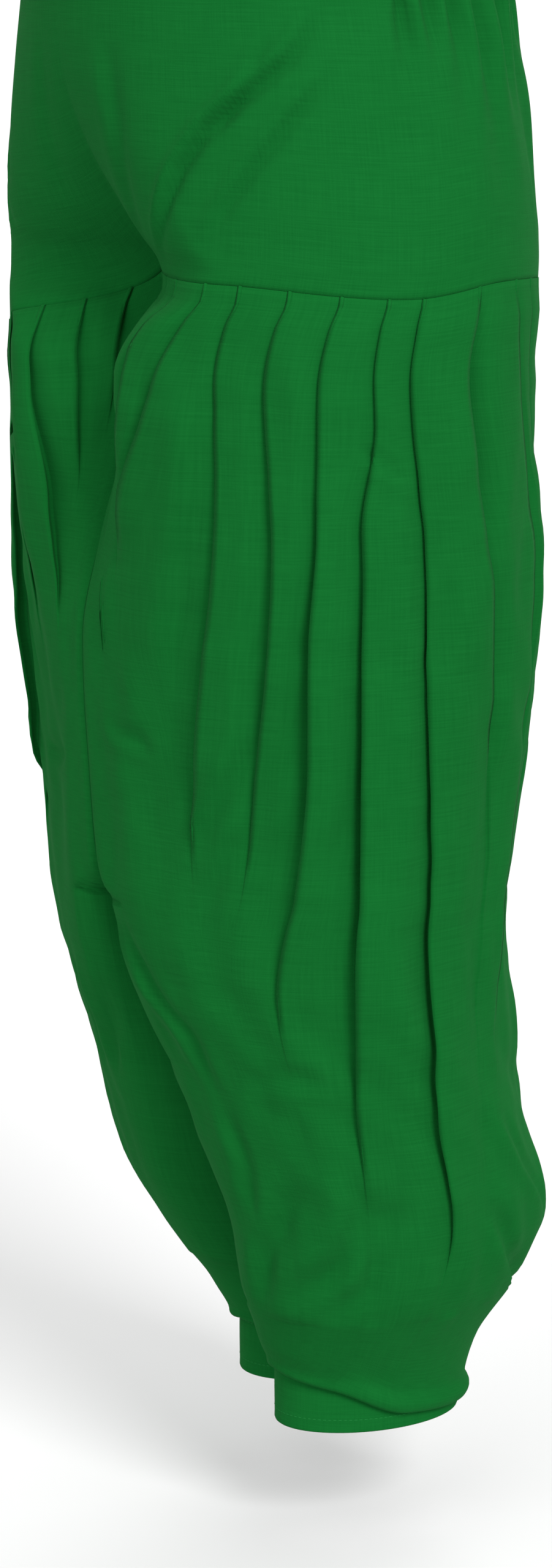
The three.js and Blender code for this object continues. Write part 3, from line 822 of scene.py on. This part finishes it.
def above_crotch(z):
    """1 above the crotch, where the legs meet at the centre seam, and 0 below it."""
    return smooth((z - CROTCH_FOOT) / (CROTCH_TOP - CROTCH_FOOT))


def ankle_row(angles, stride, out, z):
    """Points round the ankle, moved out from the cuff's form."""
    x = ANKLE_X + (CUFF_HALF_WIDTH + out) * np.cos(angles)
    y = ANKLE_Y + stride + (CUFF_HALF_DEPTH + out) * np.sin(angles)
    return np.stack([x, y, z], -1)


def leg_heights():
    """Heights of a leg's rows between its pleated top and its foot."""
    return np.concatenate([np.arange(*run) for run in ROW_RUNS] + [[ROWS_END]])


def leg_grid(pleat_table, stride, turned, creases):
    """Outer points of a leg. stride sets its foot ahead or back; turned: it will be mirrored."""
    pleats = [Pleat(row) for row in pleat_table]
    controls, steps = pleat_controls(pleats, LEG)
    stops = np.concatenate([i + np.arange(n) / n for i, n in enumerate(steps)] + [[len(controls) - 1]])
    weights = spline_weights(len(controls), stops)

    def controls_at(heights):
        """Distances and lifts of the controls, for one row of heights each."""
        pairs = [control(heights[:, k]) for k, control in enumerate(controls)]
        return np.stack([p[0] for p in pairs], 1), np.stack([p[1] for p in pairs], 1)

    def full_row(heights):
        """Distance, lift and height of every column, from the controls' heights."""
        distance, lift = controls_at(heights)
        outer = distance @ weights.T
        lifts = lift @ weights.T
        z = heights @ weights.T
        k = (np.arange(1, INNER_COLUMNS + 1) / INNER_COLUMNS) ** INNER_SPREAD
        length = LEG.value(LEG.length, z[:, :1])
        front = mix(outer[:, :1], 0.0, k[::-1][None, :])
        back = mix(outer[:, -1:], length, k[None, :])
        sides = ((0, 0), (INNER_COLUMNS, INNER_COLUMNS))
        return np.concatenate([front, outer, back], 1), np.pad(lifts, sides), np.pad(z, sides, "edge")

    def set_back(z):
        return stride * smooth((STRIDE_FROM - z) / (STRIDE_FROM - CUFF_TOP))

    def points(distance, lift, z):
        x, y = LEG.place(z, distance, lift)
        return np.stack([np.maximum(x, SEAM_GAP / 2), y + set_back(z), z], -1)

    count = len(controls)
    seam = on_seam(lambda z: LEG.place(z, controls_at(z)[0], np.zeros_like(z)), (1, count), turned)
    down_top = np.linspace(0, 1, TOP_ROWS)
    tops = np.concatenate([mix(seam, float(PLEAT_START), t) for t in down_top])
    below = np.repeat(leg_heights()[:, None], count, 1)
    heights = np.concatenate([tops, below])
    distance, lift, z = full_row(heights)
    top_z = z[0]
    pinch = mix(PINCH, 1.0, smooth((top_z - z) / PINCH_HEIGHT))
    seam_z = on_seam(lambda zz: LEG.place(zz, distance[0], np.zeros_like(zz)), distance[0].shape, turned)
    inner = np.concatenate([np.arange(INNER_COLUMNS), np.arange(-INNER_COLUMNS, 0)])
    z[:TOP_ROWS, inner] = mix(seam_z[inner], float(PLEAT_START), down_top[:, None])
    lift = lift * pinch
    across = distance - LEG.value(LEG.begins, z)
    field = crease_field(across, z, creases)
    from_end = np.minimum(distance, LEG.value(LEG.length, z) - distance)
    groove = SEAM_GROOVE * np.exp(-((from_end / SEAM_GROOVE_WIDTH) ** 2))
    waves = drape_field(across, z, 0.37 if turned else 0.0)
    waves = waves * smooth((top_z - z) / WAVES_FROM_YOKE) * smooth(from_end / WAVES_FROM_SEAM)
    joined = above_crotch(z)
    grid = points(distance, lift + field + waves - groove * (1 - joined), z)
    grid[:, :, 1] += groove * joined * np.where(distance < 0.5 * LEG.value(LEG.length, z), 1, -1)

    # The angle round the ankle of each column, then the rolled foot and its tuck behind the cuff's top
    share = distance[-1] / LEG.value(LEG.length, float(ROWS_END))
    at_ankle = np.full(distance.shape[1], float(CUFF_TOP))
    outline_x, outline_y = LEG.place(at_ankle, share * LEG.value(LEG.length, at_ankle), 0.0)
    centre_x = float(SECTION["middle"](CUFF_TOP))
    centre_y = float(SECTION["level"](CUFF_TOP))
    angles = np.unwrap(np.arctan2(outline_y - centre_y, outline_x - centre_x))
    foot = LEG_FOOT_Z((np.degrees(angles) + 90) % 360)
    roll = mix(ROLL_OUTSIDE, ROLL_INSIDE, smooth(-2 * np.cos(angles)))

    def ankle(out, z_row):
        return ankle_row(angles, stride, out, z_row)

    last = points(distance[-1], lift[-1] + field[-1], z[-1])

    def on_form(z_row):
        return points(share * LEG.value(LEG.length, z_row), np.zeros_like(z_row), z_row)

    foot_rows = [
        grid[-2],
        last,
        on_form(mix(float(ROWS_END), foot + ROLL_TOP, 0.5)),
        on_form(foot + ROLL_TOP),
        ankle(roll, foot + 8),
        ankle(roll * 0.86, foot + 2.6),
        ankle(roll * 0.5, foot),
        ankle(np.full_like(foot, 0.9), foot + 1.6),
        ankle(np.full_like(foot, 0.5), foot + 5),
        ankle(np.full_like(foot, 0.6), np.full_like(foot, CUFF_TOP - 4.0)),
    ]
    rolled = through(foot_rows, [1, 5, 4, 4, 3, 3, 3, 2, 2])

    # The seam allowance, behind the yoke
    sunk = np.full_like(top_z, -ALLOWANCE_SUNK)
    allowance = [
        points(distance[0], sunk, top_z + ALLOWANCE),
        points(distance[0], 0.5 * sunk, top_z + ALLOWANCE_TUCK),
    ]
    made = np.concatenate([allowance, grid[:-1], rolled[1:]])
    joined = above_crotch(made[:, 0, 2])
    reach = (1 - joined, 0 * joined) if turned else (1 + 0 * joined, joined)
    return with_lips(made, LIP_REACH * reach[0], LIP_REACH * reach[1])


# Creases of the legs: depth, half width and ridge share, then for each place its distance from the
# leg's front corner along the level, and its height.
LEFT_CREASES = [
    [3.7, 7, 0.6, 123, -239, 107, -296, 90, -353, 64, -452],
    [3.1, 5, 0.6, 132, -462, 104, -509, 76, -548],
    [2.3, 5, 0.5, 120, -518, 94, -561, 76, -592],
    [2.5, 4, 0.7, 208, -284, 223, -296, 238, -307],
    [2.8, 5, 0.6, -2, -470, 28, -476, 56, -483],
    [4.3, 7, 0.6, -6, -588, 15, -636, 37, -668, 34, -720],
    [2.5, 6, 0.5, 60, -697, 101, -687, 134, -690],
    [4, 7, 0.5, 40, -716, 33, -756, 20, -796],
    [5.3, 8, 0.5, 74, -744, 62, -767, 25, -815, 7, -862],
    [6.4, 9, 0.6, 122, -740, 105, -781, 79, -816, 36, -852],
    [5, 8, 0.5, 142, -748, 118, -786, 91, -834, 48, -866],
    [1.9, 10, 0.4, 205, -255, 191, -329, 183, -405],
    [2.2, 6, 0.5, 258, -352, 249, -398, 236, -437],
    [3.1, 8, 0.5, 392, -300, 378, -362, 372, -432],
    [2.6, 5, 0.6, 330, -566, 306, -606, 292, -652],
    [3.4, 7, 0.6, 236, -716, 248, -765, 271, -812],
    [4.7, 8, 0.5, 196, -780, 209, -826, 236, -864],
    [3.7, 7, 0.5, 352, -640, 330, -690, 322, -752],
    [2.8, 6, 0.5, 452, -476, 430, -518, 416, -566],
    [4.3, 8, 0.5, 312, -762, 290, -800, 268, -850],
]
RIGHT_CREASES = [
    [5.3, 8, 0.6, -17, -560, -8, -628, -5, -674, 13, -736],
    [3.4, 6, 0.6, 36, -640, 28, -682, 30, -726],
    [3.1, 5, 0.7, 52, -306, 84, -300, 112, -290],
    [2.8, 6, 0.5, 98, -368, 84, -420, 62, -470],
    [3.3, 5, 0.6, 122, -470, 98, -508, 70, -552],
    [2.3, 5, 0.6, 4, -500, 30, -506, 58, -502],
    [5, 8, 0.5, 92, -748, 66, -790, 28, -838],
    [5.6, 9, 0.6, 134, -742, 112, -788, 70, -850],
    [2.3, 6, 0.5, 252, -360, 246, -410, 230, -452],
    [3.3, 7, 0.5, 398, -310, 384, -372, 380, -440],
    [2.8, 6, 0.6, 322, -560, 300, -604, 290, -648],
    [3.6, 7, 0.6, 228, -722, 243, -768, 262, -806],
    [4.3, 8, 0.5, 190, -786, 206, -832, 230, -866],
    [3.4, 7, 0.5, 360, -632, 336, -684, 330, -742],
    [4.2, 8, 0.5, 306, -756, 284, -802, 262, -852],
]


def cuff_grid(stride):
    """A cuff: a firm band, its hem turned in."""
    profile = [
        [-1.6, CUFF_TOP - 1.5],
        [-0.4, CUFF_TOP],
        [0, CUFF_TOP - 3],
        [0.2, -920],
        [0, HEM + 5],
        [0.1, HEM + 1.4],
        [-0.8, HEM],
        [-1.8, HEM + 1.2],
        [-1.9, HEM + 12],
    ]
    angles = np.radians(np.arange(-180, 180, 2.0))
    rows = [ankle_row(angles, stride, out, np.full_like(angles, z)) for out, z in profile]
    return through(rows, [2, 2, 4, 4, 2, 2, 2, 3])


def stitch_places(grid, row, mirrored):
    """Places, directions and outward directions of stitches round one row of a ring of cloth."""
    normals = outward(grid, True)[row]
    points = np.concatenate([grid[row], grid[row][:1]])
    normals = np.concatenate([normals, normals[:1]])
    run = np.concatenate([[0], np.cumsum(np.linalg.norm(np.diff(points, axis=0), axis=1))])
    count = int(run[-1] / STITCH_PITCH)
    middles = (np.arange(count) + 0.5) * run[-1] / count

    def at(places, values):
        return np.stack([np.interp(places, run, values[:, k]) for k in range(3)], -1)

    half = STITCH_SIZE[0] / 2
    places = at(middles, points)
    along = at(middles + half, points) - at(middles - half, points)
    outwards = at(middles, normals)
    if mirrored:
        for vectors in (places, along, outwards):
            vectors[:, 0] *= -1
    return [(Vector(p), Vector(a), Vector(o)) for p, a, o in zip(places, along, outwards)]


def sew(name, stitch, places):
    """Copies one stitch to each place and joins the copies."""
    thread = new_object(name, bpy.data.meshes.new(name))
    copies = []
    for place, along, out in places:
        x = along.normalized()
        z = (out - out.dot(x) * x).normalized()
        y = z.cross(x)
        turn = Matrix((x, y, z)).transposed().to_4x4()
        copy = stitch.copy()
        bpy.context.scene.collection.objects.link(copy)
        copy.matrix_world = Matrix.Translation((place - STITCH_SUNK * z) * MM) @ turn
        copies.append(copy)
    bpy.ops.object.select_all(action="DESELECT")
    for copy in copies:
        copy.select_set(True)
    thread.select_set(True)
    bpy.context.view_layer.objects.active = thread
    bpy.ops.object.join()
    return thread


class Value:
    """A number that varies over a surface: arithmetic on it adds Math nodes to its material."""

    def __init__(self, finish, socket):
        self.finish = finish
        self.socket = socket

    def math(self, operation, *others):
        return self.finish.node("Math", {"operation": operation}, dict(enumerate((self, *others))))

    def __add__(self, other):
        return self.math("ADD", other)

    def __mul__(self, other):
        return self.math("MULTIPLY", other)

    __radd__ = __add__
    __rmul__ = __mul__


class Finish:
    """A material being made from nodes."""

    def __init__(self, name):
        self.material = bpy.data.materials.new(name)
        self.material.use_nodes = True
        self.tree = self.material.node_tree
        self.shader = self.tree.nodes["Principled BSDF"]

    def node(self, kind, settings=None, inputs=None, output=0):
        """Adds a shader node, sets it, feeds its inputs with numbers or values, and gives one output."""
        made = self.tree.nodes.new("ShaderNode" + kind)
        for name, setting in (settings or {}).items():
            setattr(made, name, setting)
        for name, given in (inputs or {}).items():
            self.feed(made.inputs[name], given)
        return Value(self, made.outputs[output])

    def feed(self, socket, given):
        """Links a value to a socket, or sets the socket."""
        if isinstance(given, Value):
            self.tree.links.new(given.socket, socket)
        else:
            socket.default_value = given

    def noise(self, place, scale, detail, roughness=0.5):
        """Noise over a surface."""
        return self.node("TexNoise", None, {"Vector": place, "Scale": scale, "Detail": detail,
                                            "Roughness": roughness})

    def blend(self, factor, low, high):
        """A colour between two others."""
        return self.node("Mix", {"data_type": "RGBA"}, {"Factor": factor, 6: low, 7: high}, 2)

    def shade(self, **inputs):
        """Feeds the shader's sockets, named with underscores for spaces."""
        for name, given in inputs.items():
            self.feed(self.shader.inputs[name.replace("_", " ")], given)
        return self.material


# The cotton's slubs: how often they change along a thread and from thread to thread, for each metre
SLUB_ALONG = 28.0
SLUB_ACROSS = 950.0
MOTTLE_SCALE = 14.0
WRINKLE_SCALE = 55.0


def grain_noise(finish, u, v, scale_u, scale_v):
    """Noise drawn out along the cloth's grain."""
    place = finish.node("CombineXYZ", None, {"X": u * scale_u, "Y": v * scale_v, "Z": 0.0})
    return finish.noise(place, 1.0, 2.0, 0.55)


def cotton(name, settings):
    """Plain-woven cotton with slubs, a soft bloom and small wrinkles."""
    finish = Finish(name)
    grain = finish.node("UVMap", {"uv_map": "grain"})
    split = finish.node("SeparateXYZ", None, {"Vector": grain})
    u = Value(finish, split.socket.node.outputs["X"])
    v = Value(finish, split.socket.node.outputs["Y"])
    weft = grain_noise(finish, u, v, SLUB_ALONG, SLUB_ACROSS)
    warp = grain_noise(finish, u, v, SLUB_ACROSS, SLUB_ALONG)
    mottle = finish.noise(grain, MOTTLE_SCALE, 3.0)
    slub = weft * 0.5 + warp * 0.35 + mottle * 0.15
    ramp = finish.node("MapRange", None, {"Value": slub, "From Min": 0.34, "From Max": 0.66})
    colour = finish.blend(ramp, [*settings.deep_colour, 1.0], [*settings.lit_colour, 1.0])
    pitch = math.pi / settings.thread_pitch
    thread_u = (u * pitch).math("SINE")
    thread_v = (v * pitch).math("SINE")
    weave = (thread_u * thread_v).math("ABSOLUTE")
    wrinkle = finish.noise(grain, WRINKLE_SCALE, 4.0, 0.6)
    height = weave * 0.12 + slub * 0.5 + wrinkle * 0.9
    bump = finish.node("Bump", None, {"Strength": 0.35, "Distance": 0.0012, "Height": height})
    rough = 0.78 + slub * 0.14
    return finish.shade(Base_Color=colour, Roughness=rough, Normal=bump, Sheen_Weight=0.03,
                        Sheen_Roughness=0.5, Sheen_Tint=(0.25, 0.8, 0.35, 1.0), IOR=1.06)


def thread_finish():
    """Twisted sewing thread, a little lighter than the cloth."""
    finish = Finish("green_thread")
    place = finish.node("TexCoord", None, None, 3)
    fibre = finish.noise(place, 1400.0, 2.0)
    colour = finish.blend(fibre, (0.004, 0.085, 0.015, 1), (0.014, 0.17, 0.038, 1))
    bump = finish.node("Bump", None, {"Strength": 0.3, "Distance": 0.0002, "Height": fibre})
    return finish.shade(Base_Color=colour, Roughness=0.8, Normal=bump, IOR=1.1)


def length_property(name, description, default, low, high):
    """A length that can be set."""
    return bpy.props.FloatProperty(name=name, description=description, default=default, min=low,
                                   max=high, precision=4, unit="LENGTH")


def colour_property(name, description, *default):
    """A colour that can be set."""
    return bpy.props.FloatVectorProperty(name=name, description=description, default=default,
                                         subtype="COLOR", size=3, min=0, max=1)


def strength_property(name, description, default, high):
    """A light's strength that can be set."""
    return bpy.props.FloatProperty(name=name, description="Strength of " + description,
                                   default=default, min=0, max=high)


class SalwarCloth(bpy.types.PropertyGroup):
    """Cloth of the salwar."""

    thickness: length_property("Cloth thickness", "Thickness of the cotton", 0.0007, 0.0003, 0.002)
    cuff_thickness: length_property("Cuff thickness", "Thickness of the lined cuff",
                                    0.0011, 0.0005, 0.003)
    thread_pitch: length_property("Thread pitch", "Distance between threads of the weave",
                                  0.0006, 0.0002, 0.002)
    lit_colour: colour_property("Lit colour", "Colour of the thick threads", 0.0042, 0.094, 0.0158)
    deep_colour: colour_property("Deep colour", "Colour between the threads", 0.0027, 0.076, 0.0122)


class SalwarStage(bpy.types.PropertyGroup):
    """Floor, light and camera."""

    floor_drop: length_property("Floor below the hem", "Height of the hem above the floor",
                                0.078, 0, 0.5)
    floor_colour: colour_property("Floor colour", "Colour of the floor", 0.58, 0.58, 0.58)
    key_strength: strength_property("Key light", "the main soft light", 3.1, 50)
    fill_strength: strength_property("Fill light", "the light from the front", 0.65, 50)
    back_strength: strength_property("Back light", "the light from behind", 1.0, 50)
    sky_strength: strength_property("Sky", "the even light from all round", 1.0, 5)


def cotton_material(context):
    """The garment's cotton, made once."""
    return bpy.data.materials.get("green_cotton") or cotton("green_cotton", context.scene.salwar_cloth)


def make_piece(context, node, grid, ring=True, mirrored=False, firm=False):
    """Makes the cloth piece for a CAD node, with its material and its body, and hides the CAD node."""
    cloth = context.scene.salwar_cloth
    thickness = cloth.cuff_thickness if firm else cloth.thickness
    piece = cloth_shell(node + "_cloth", grid, ring, thickness, mirrored)
    piece.data.materials.clear()
    piece.data.materials.append(cotton_material(context))
    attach(piece, "root")
    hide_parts(node)


class SALWAR_OT_casing(bpy.types.Operator):
    """Make the drawstring casing at the waist"""

    bl_idname = "salwar.casing"
    bl_label = "Waist casing"

    def execute(self, context):
        make_piece(context, "waist_casing", casing_grid())
        return {"FINISHED"}


class SALWAR_OT_yoke(bpy.types.Operator):
    """Make the plain yoke over the hips"""

    bl_idname = "salwar.yoke"
    bl_label = "Yoke"

    def execute(self, context):
        make_piece(context, "yoke", yoke_grid())
        return {"FINISHED"}


class SALWAR_OT_legs(bpy.types.Operator):
    """Make the two pleated legs"""

    bl_idname = "salwar.legs"
    bl_label = "Pleated legs"

    def execute(self, context):
        left = leg_grid(LEFT_PLEATS, -STRIDE, False, LEFT_CREASES)
        right = leg_grid(RIGHT_PLEATS, STRIDE, True, RIGHT_CREASES)
        for node, grid, turned in (("leg_left", left, False), ("leg_right", right, True)):
            make_piece(context, node, grid, ring=False, mirrored=turned)
        return {"FINISHED"}


class SALWAR_OT_cuffs(bpy.types.Operator):
    """Make the two ankle cuffs"""

    bl_idname = "salwar.cuffs"
    bl_label = "Ankle cuffs"

    def execute(self, context):
        for node, stride in (("cuff_left", -STRIDE), ("cuff_right", STRIDE)):
            make_piece(context, node, cuff_grid(stride),
                       mirrored=stride > 0, firm=True)
        return {"FINISHED"}


CAMERA_PLACE = Vector((2.5981, -1.5, 0.06))
CAMERA_TARGET = Vector((0.00204, 0.00353, -0.52893))
CAMERA_ANGLE = 18.911

# Lights: azimuth from the front towards the wearer's left, elevation and softness, in degrees
KEY_LIGHT = (84, 34, 22)
FILL_LIGHT = (28, 38, 40)
BACK_LIGHT = (225, 36, 40)
LIGHT_DISTANCE = 4
FLOOR_SIZE = 120


def look_at(obj, target):
    """Turns a camera or a light towards a place."""
    obj.rotation_euler = (target - obj.location).to_track_quat("-Z", "Y").to_euler()


def soft_light(name, strength, azimuth, elevation, softness):
    """A wide, even light from far away."""
    data = bpy.data.lights.new(name, "SUN")
    data.energy = strength
    data.angle = math.radians(softness)
    light = new_object(name, data)
    a = math.radians(azimuth)
    e = math.radians(elevation)
    towards = Vector((math.sin(a) * math.cos(e), -math.cos(a) * math.cos(e), math.sin(e)))
    light.location = LIGHT_DISTANCE * towards
    look_at(light, Vector((0, 0, 0)))


class SALWAR_OT_stitching(bpy.types.Operator):
    """Sew the casing and the cuffs"""

    bl_idname = "salwar.stitching"
    bl_label = "Stitching"

    def execute(self, context):
        bpy.ops.object.select_all(action="DESELECT")
        bpy.ops.mesh.primitive_uv_sphere_add(segments=8, ring_count=6, radius=0.5)
        stitch = context.active_object
        stitch.name = "stitch"
        stitch.scale = [size * MM for size in STITCH_SIZE]
        bpy.ops.object.transform_apply()
        bpy.ops.object.shade_smooth()
        stitch.data.materials.append(thread_finish())
        seams = (
            ("casing_stitching", casing_grid(), CASING_SEAM_ROWS, False),
            ("cuff_left_stitching", cuff_grid(-STRIDE), CUFF_SEAM_ROWS, False),
            ("cuff_right_stitching", cuff_grid(STRIDE), CUFF_SEAM_ROWS, True),
        )
        for name, grid, rows, mirrored in seams:
            places = [place for row in rows for place in stitch_places(grid, row, mirrored)]
            thread = sew(name, stitch, places)
            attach(thread, "root")
        bpy.data.objects.remove(stitch)
        return {"FINISHED"}


class SALWAR_OT_stage(bpy.types.Operator):
    """Make the floor, the soft lights and the camera"""

    bl_idname = "salwar.stage"
    bl_label = "Floor, lights and camera"

    def execute(self, context):
        stage = context.scene.salwar_stage
        bpy.ops.object.select_all(action="DESELECT")
        floor_z = HEM * MM - stage.floor_drop
        bpy.ops.mesh.primitive_plane_add(size=1, location=(0, 0, floor_z))
        floor = context.active_object
        floor.name = "floor"
        floor.scale = (FLOOR_SIZE, FLOOR_SIZE, 1)
        bpy.ops.object.transform_apply()
        bpy.ops.object.mode_set(mode="EDIT")
        bpy.ops.mesh.select_all(action="SELECT")
        bpy.ops.mesh.subdivide(number_cuts=3)
        bpy.ops.object.mode_set(mode="OBJECT")
        paint = Finish("pale_floor")
        place = paint.node("TexCoord", None, None, 3)
        speckle = paint.noise(place, 3.0, 2.0)
        pale = [*stage.floor_colour, 1.0]
        paler = [min(1.0, 1.02 * c) for c in stage.floor_colour] + [1.0]
        colour = paint.blend(speckle, pale, paler)
        floor.data.materials.append(paint.shade(Base_Color=colour, Roughness=0.8))
        soft_light("key", stage.key_strength, *KEY_LIGHT)
        soft_light("fill", stage.fill_strength, *FILL_LIGHT)
        soft_light("back", stage.back_strength, *BACK_LIGHT)
        world = context.scene.world or bpy.data.worlds.new("sky")
        context.scene.world = world
        world.use_nodes = True
        sky = world.node_tree.nodes["Background"]
        sky.inputs["Color"].default_value = (1, 1, 1, 1)
        sky.inputs["Strength"].default_value = stage.sky_strength
        data = bpy.data.cameras.new("camera")
        data.sensor_fit = "VERTICAL"
        data.angle = math.radians(CAMERA_ANGLE)
        camera = new_object("camera", data)
        camera.location = CAMERA_PLACE
        look_at(camera, CAMERA_TARGET)
        context.scene.camera = camera
        context.scene.view_settings.view_transform = "Standard"
        return {"FINISHED"}


class SALWAR_PT_panel(bpy.types.Panel):
    """Lists the steps that make the salwar"""

    bl_label = "Patiala salwar"
    bl_idname = "SALWAR_PT_panel"
    bl_space_type = "VIEW_3D"
    bl_region_type = "UI"
    bl_category = "Salwar"

    def draw(self, context):
        for group in (context.scene.salwar_cloth, context.scene.salwar_stage):
            for name in group.__annotations__:
                self.layout.prop(group, name)
        for step in STEPS:
            self.layout.operator(step.bl_idname)


STEPS = (SALWAR_OT_casing, SALWAR_OT_yoke, SALWAR_OT_legs, SALWAR_OT_cuffs, SALWAR_OT_stitching,
         SALWAR_OT_stage)
CLASSES = (SalwarCloth, SalwarStage, *STEPS, SALWAR_PT_panel)


def register():
    for cls in CLASSES:
        bpy.utils.register_class(cls)
    bpy.types.Scene.salwar_cloth = bpy.props.PointerProperty(type=SalwarCloth)
    bpy.types.Scene.salwar_stage = bpy.props.PointerProperty(type=SalwarStage)


def unregister():
    del bpy.types.Scene.salwar_stage
    del bpy.types.Scene.salwar_cloth
    for cls in reversed(CLASSES):
        bpy.utils.unregister_class(cls)


def main():
    """Makes every piece in order."""
    register()
    bpy.ops.salwar.casing()
    bpy.ops.salwar.yoke()
    bpy.ops.salwar.legs()
    bpy.ops.salwar.cuffs()
    bpy.ops.salwar.stitching()
    bpy.ops.salwar.stage()


if __name__ == "__main__":
    main()
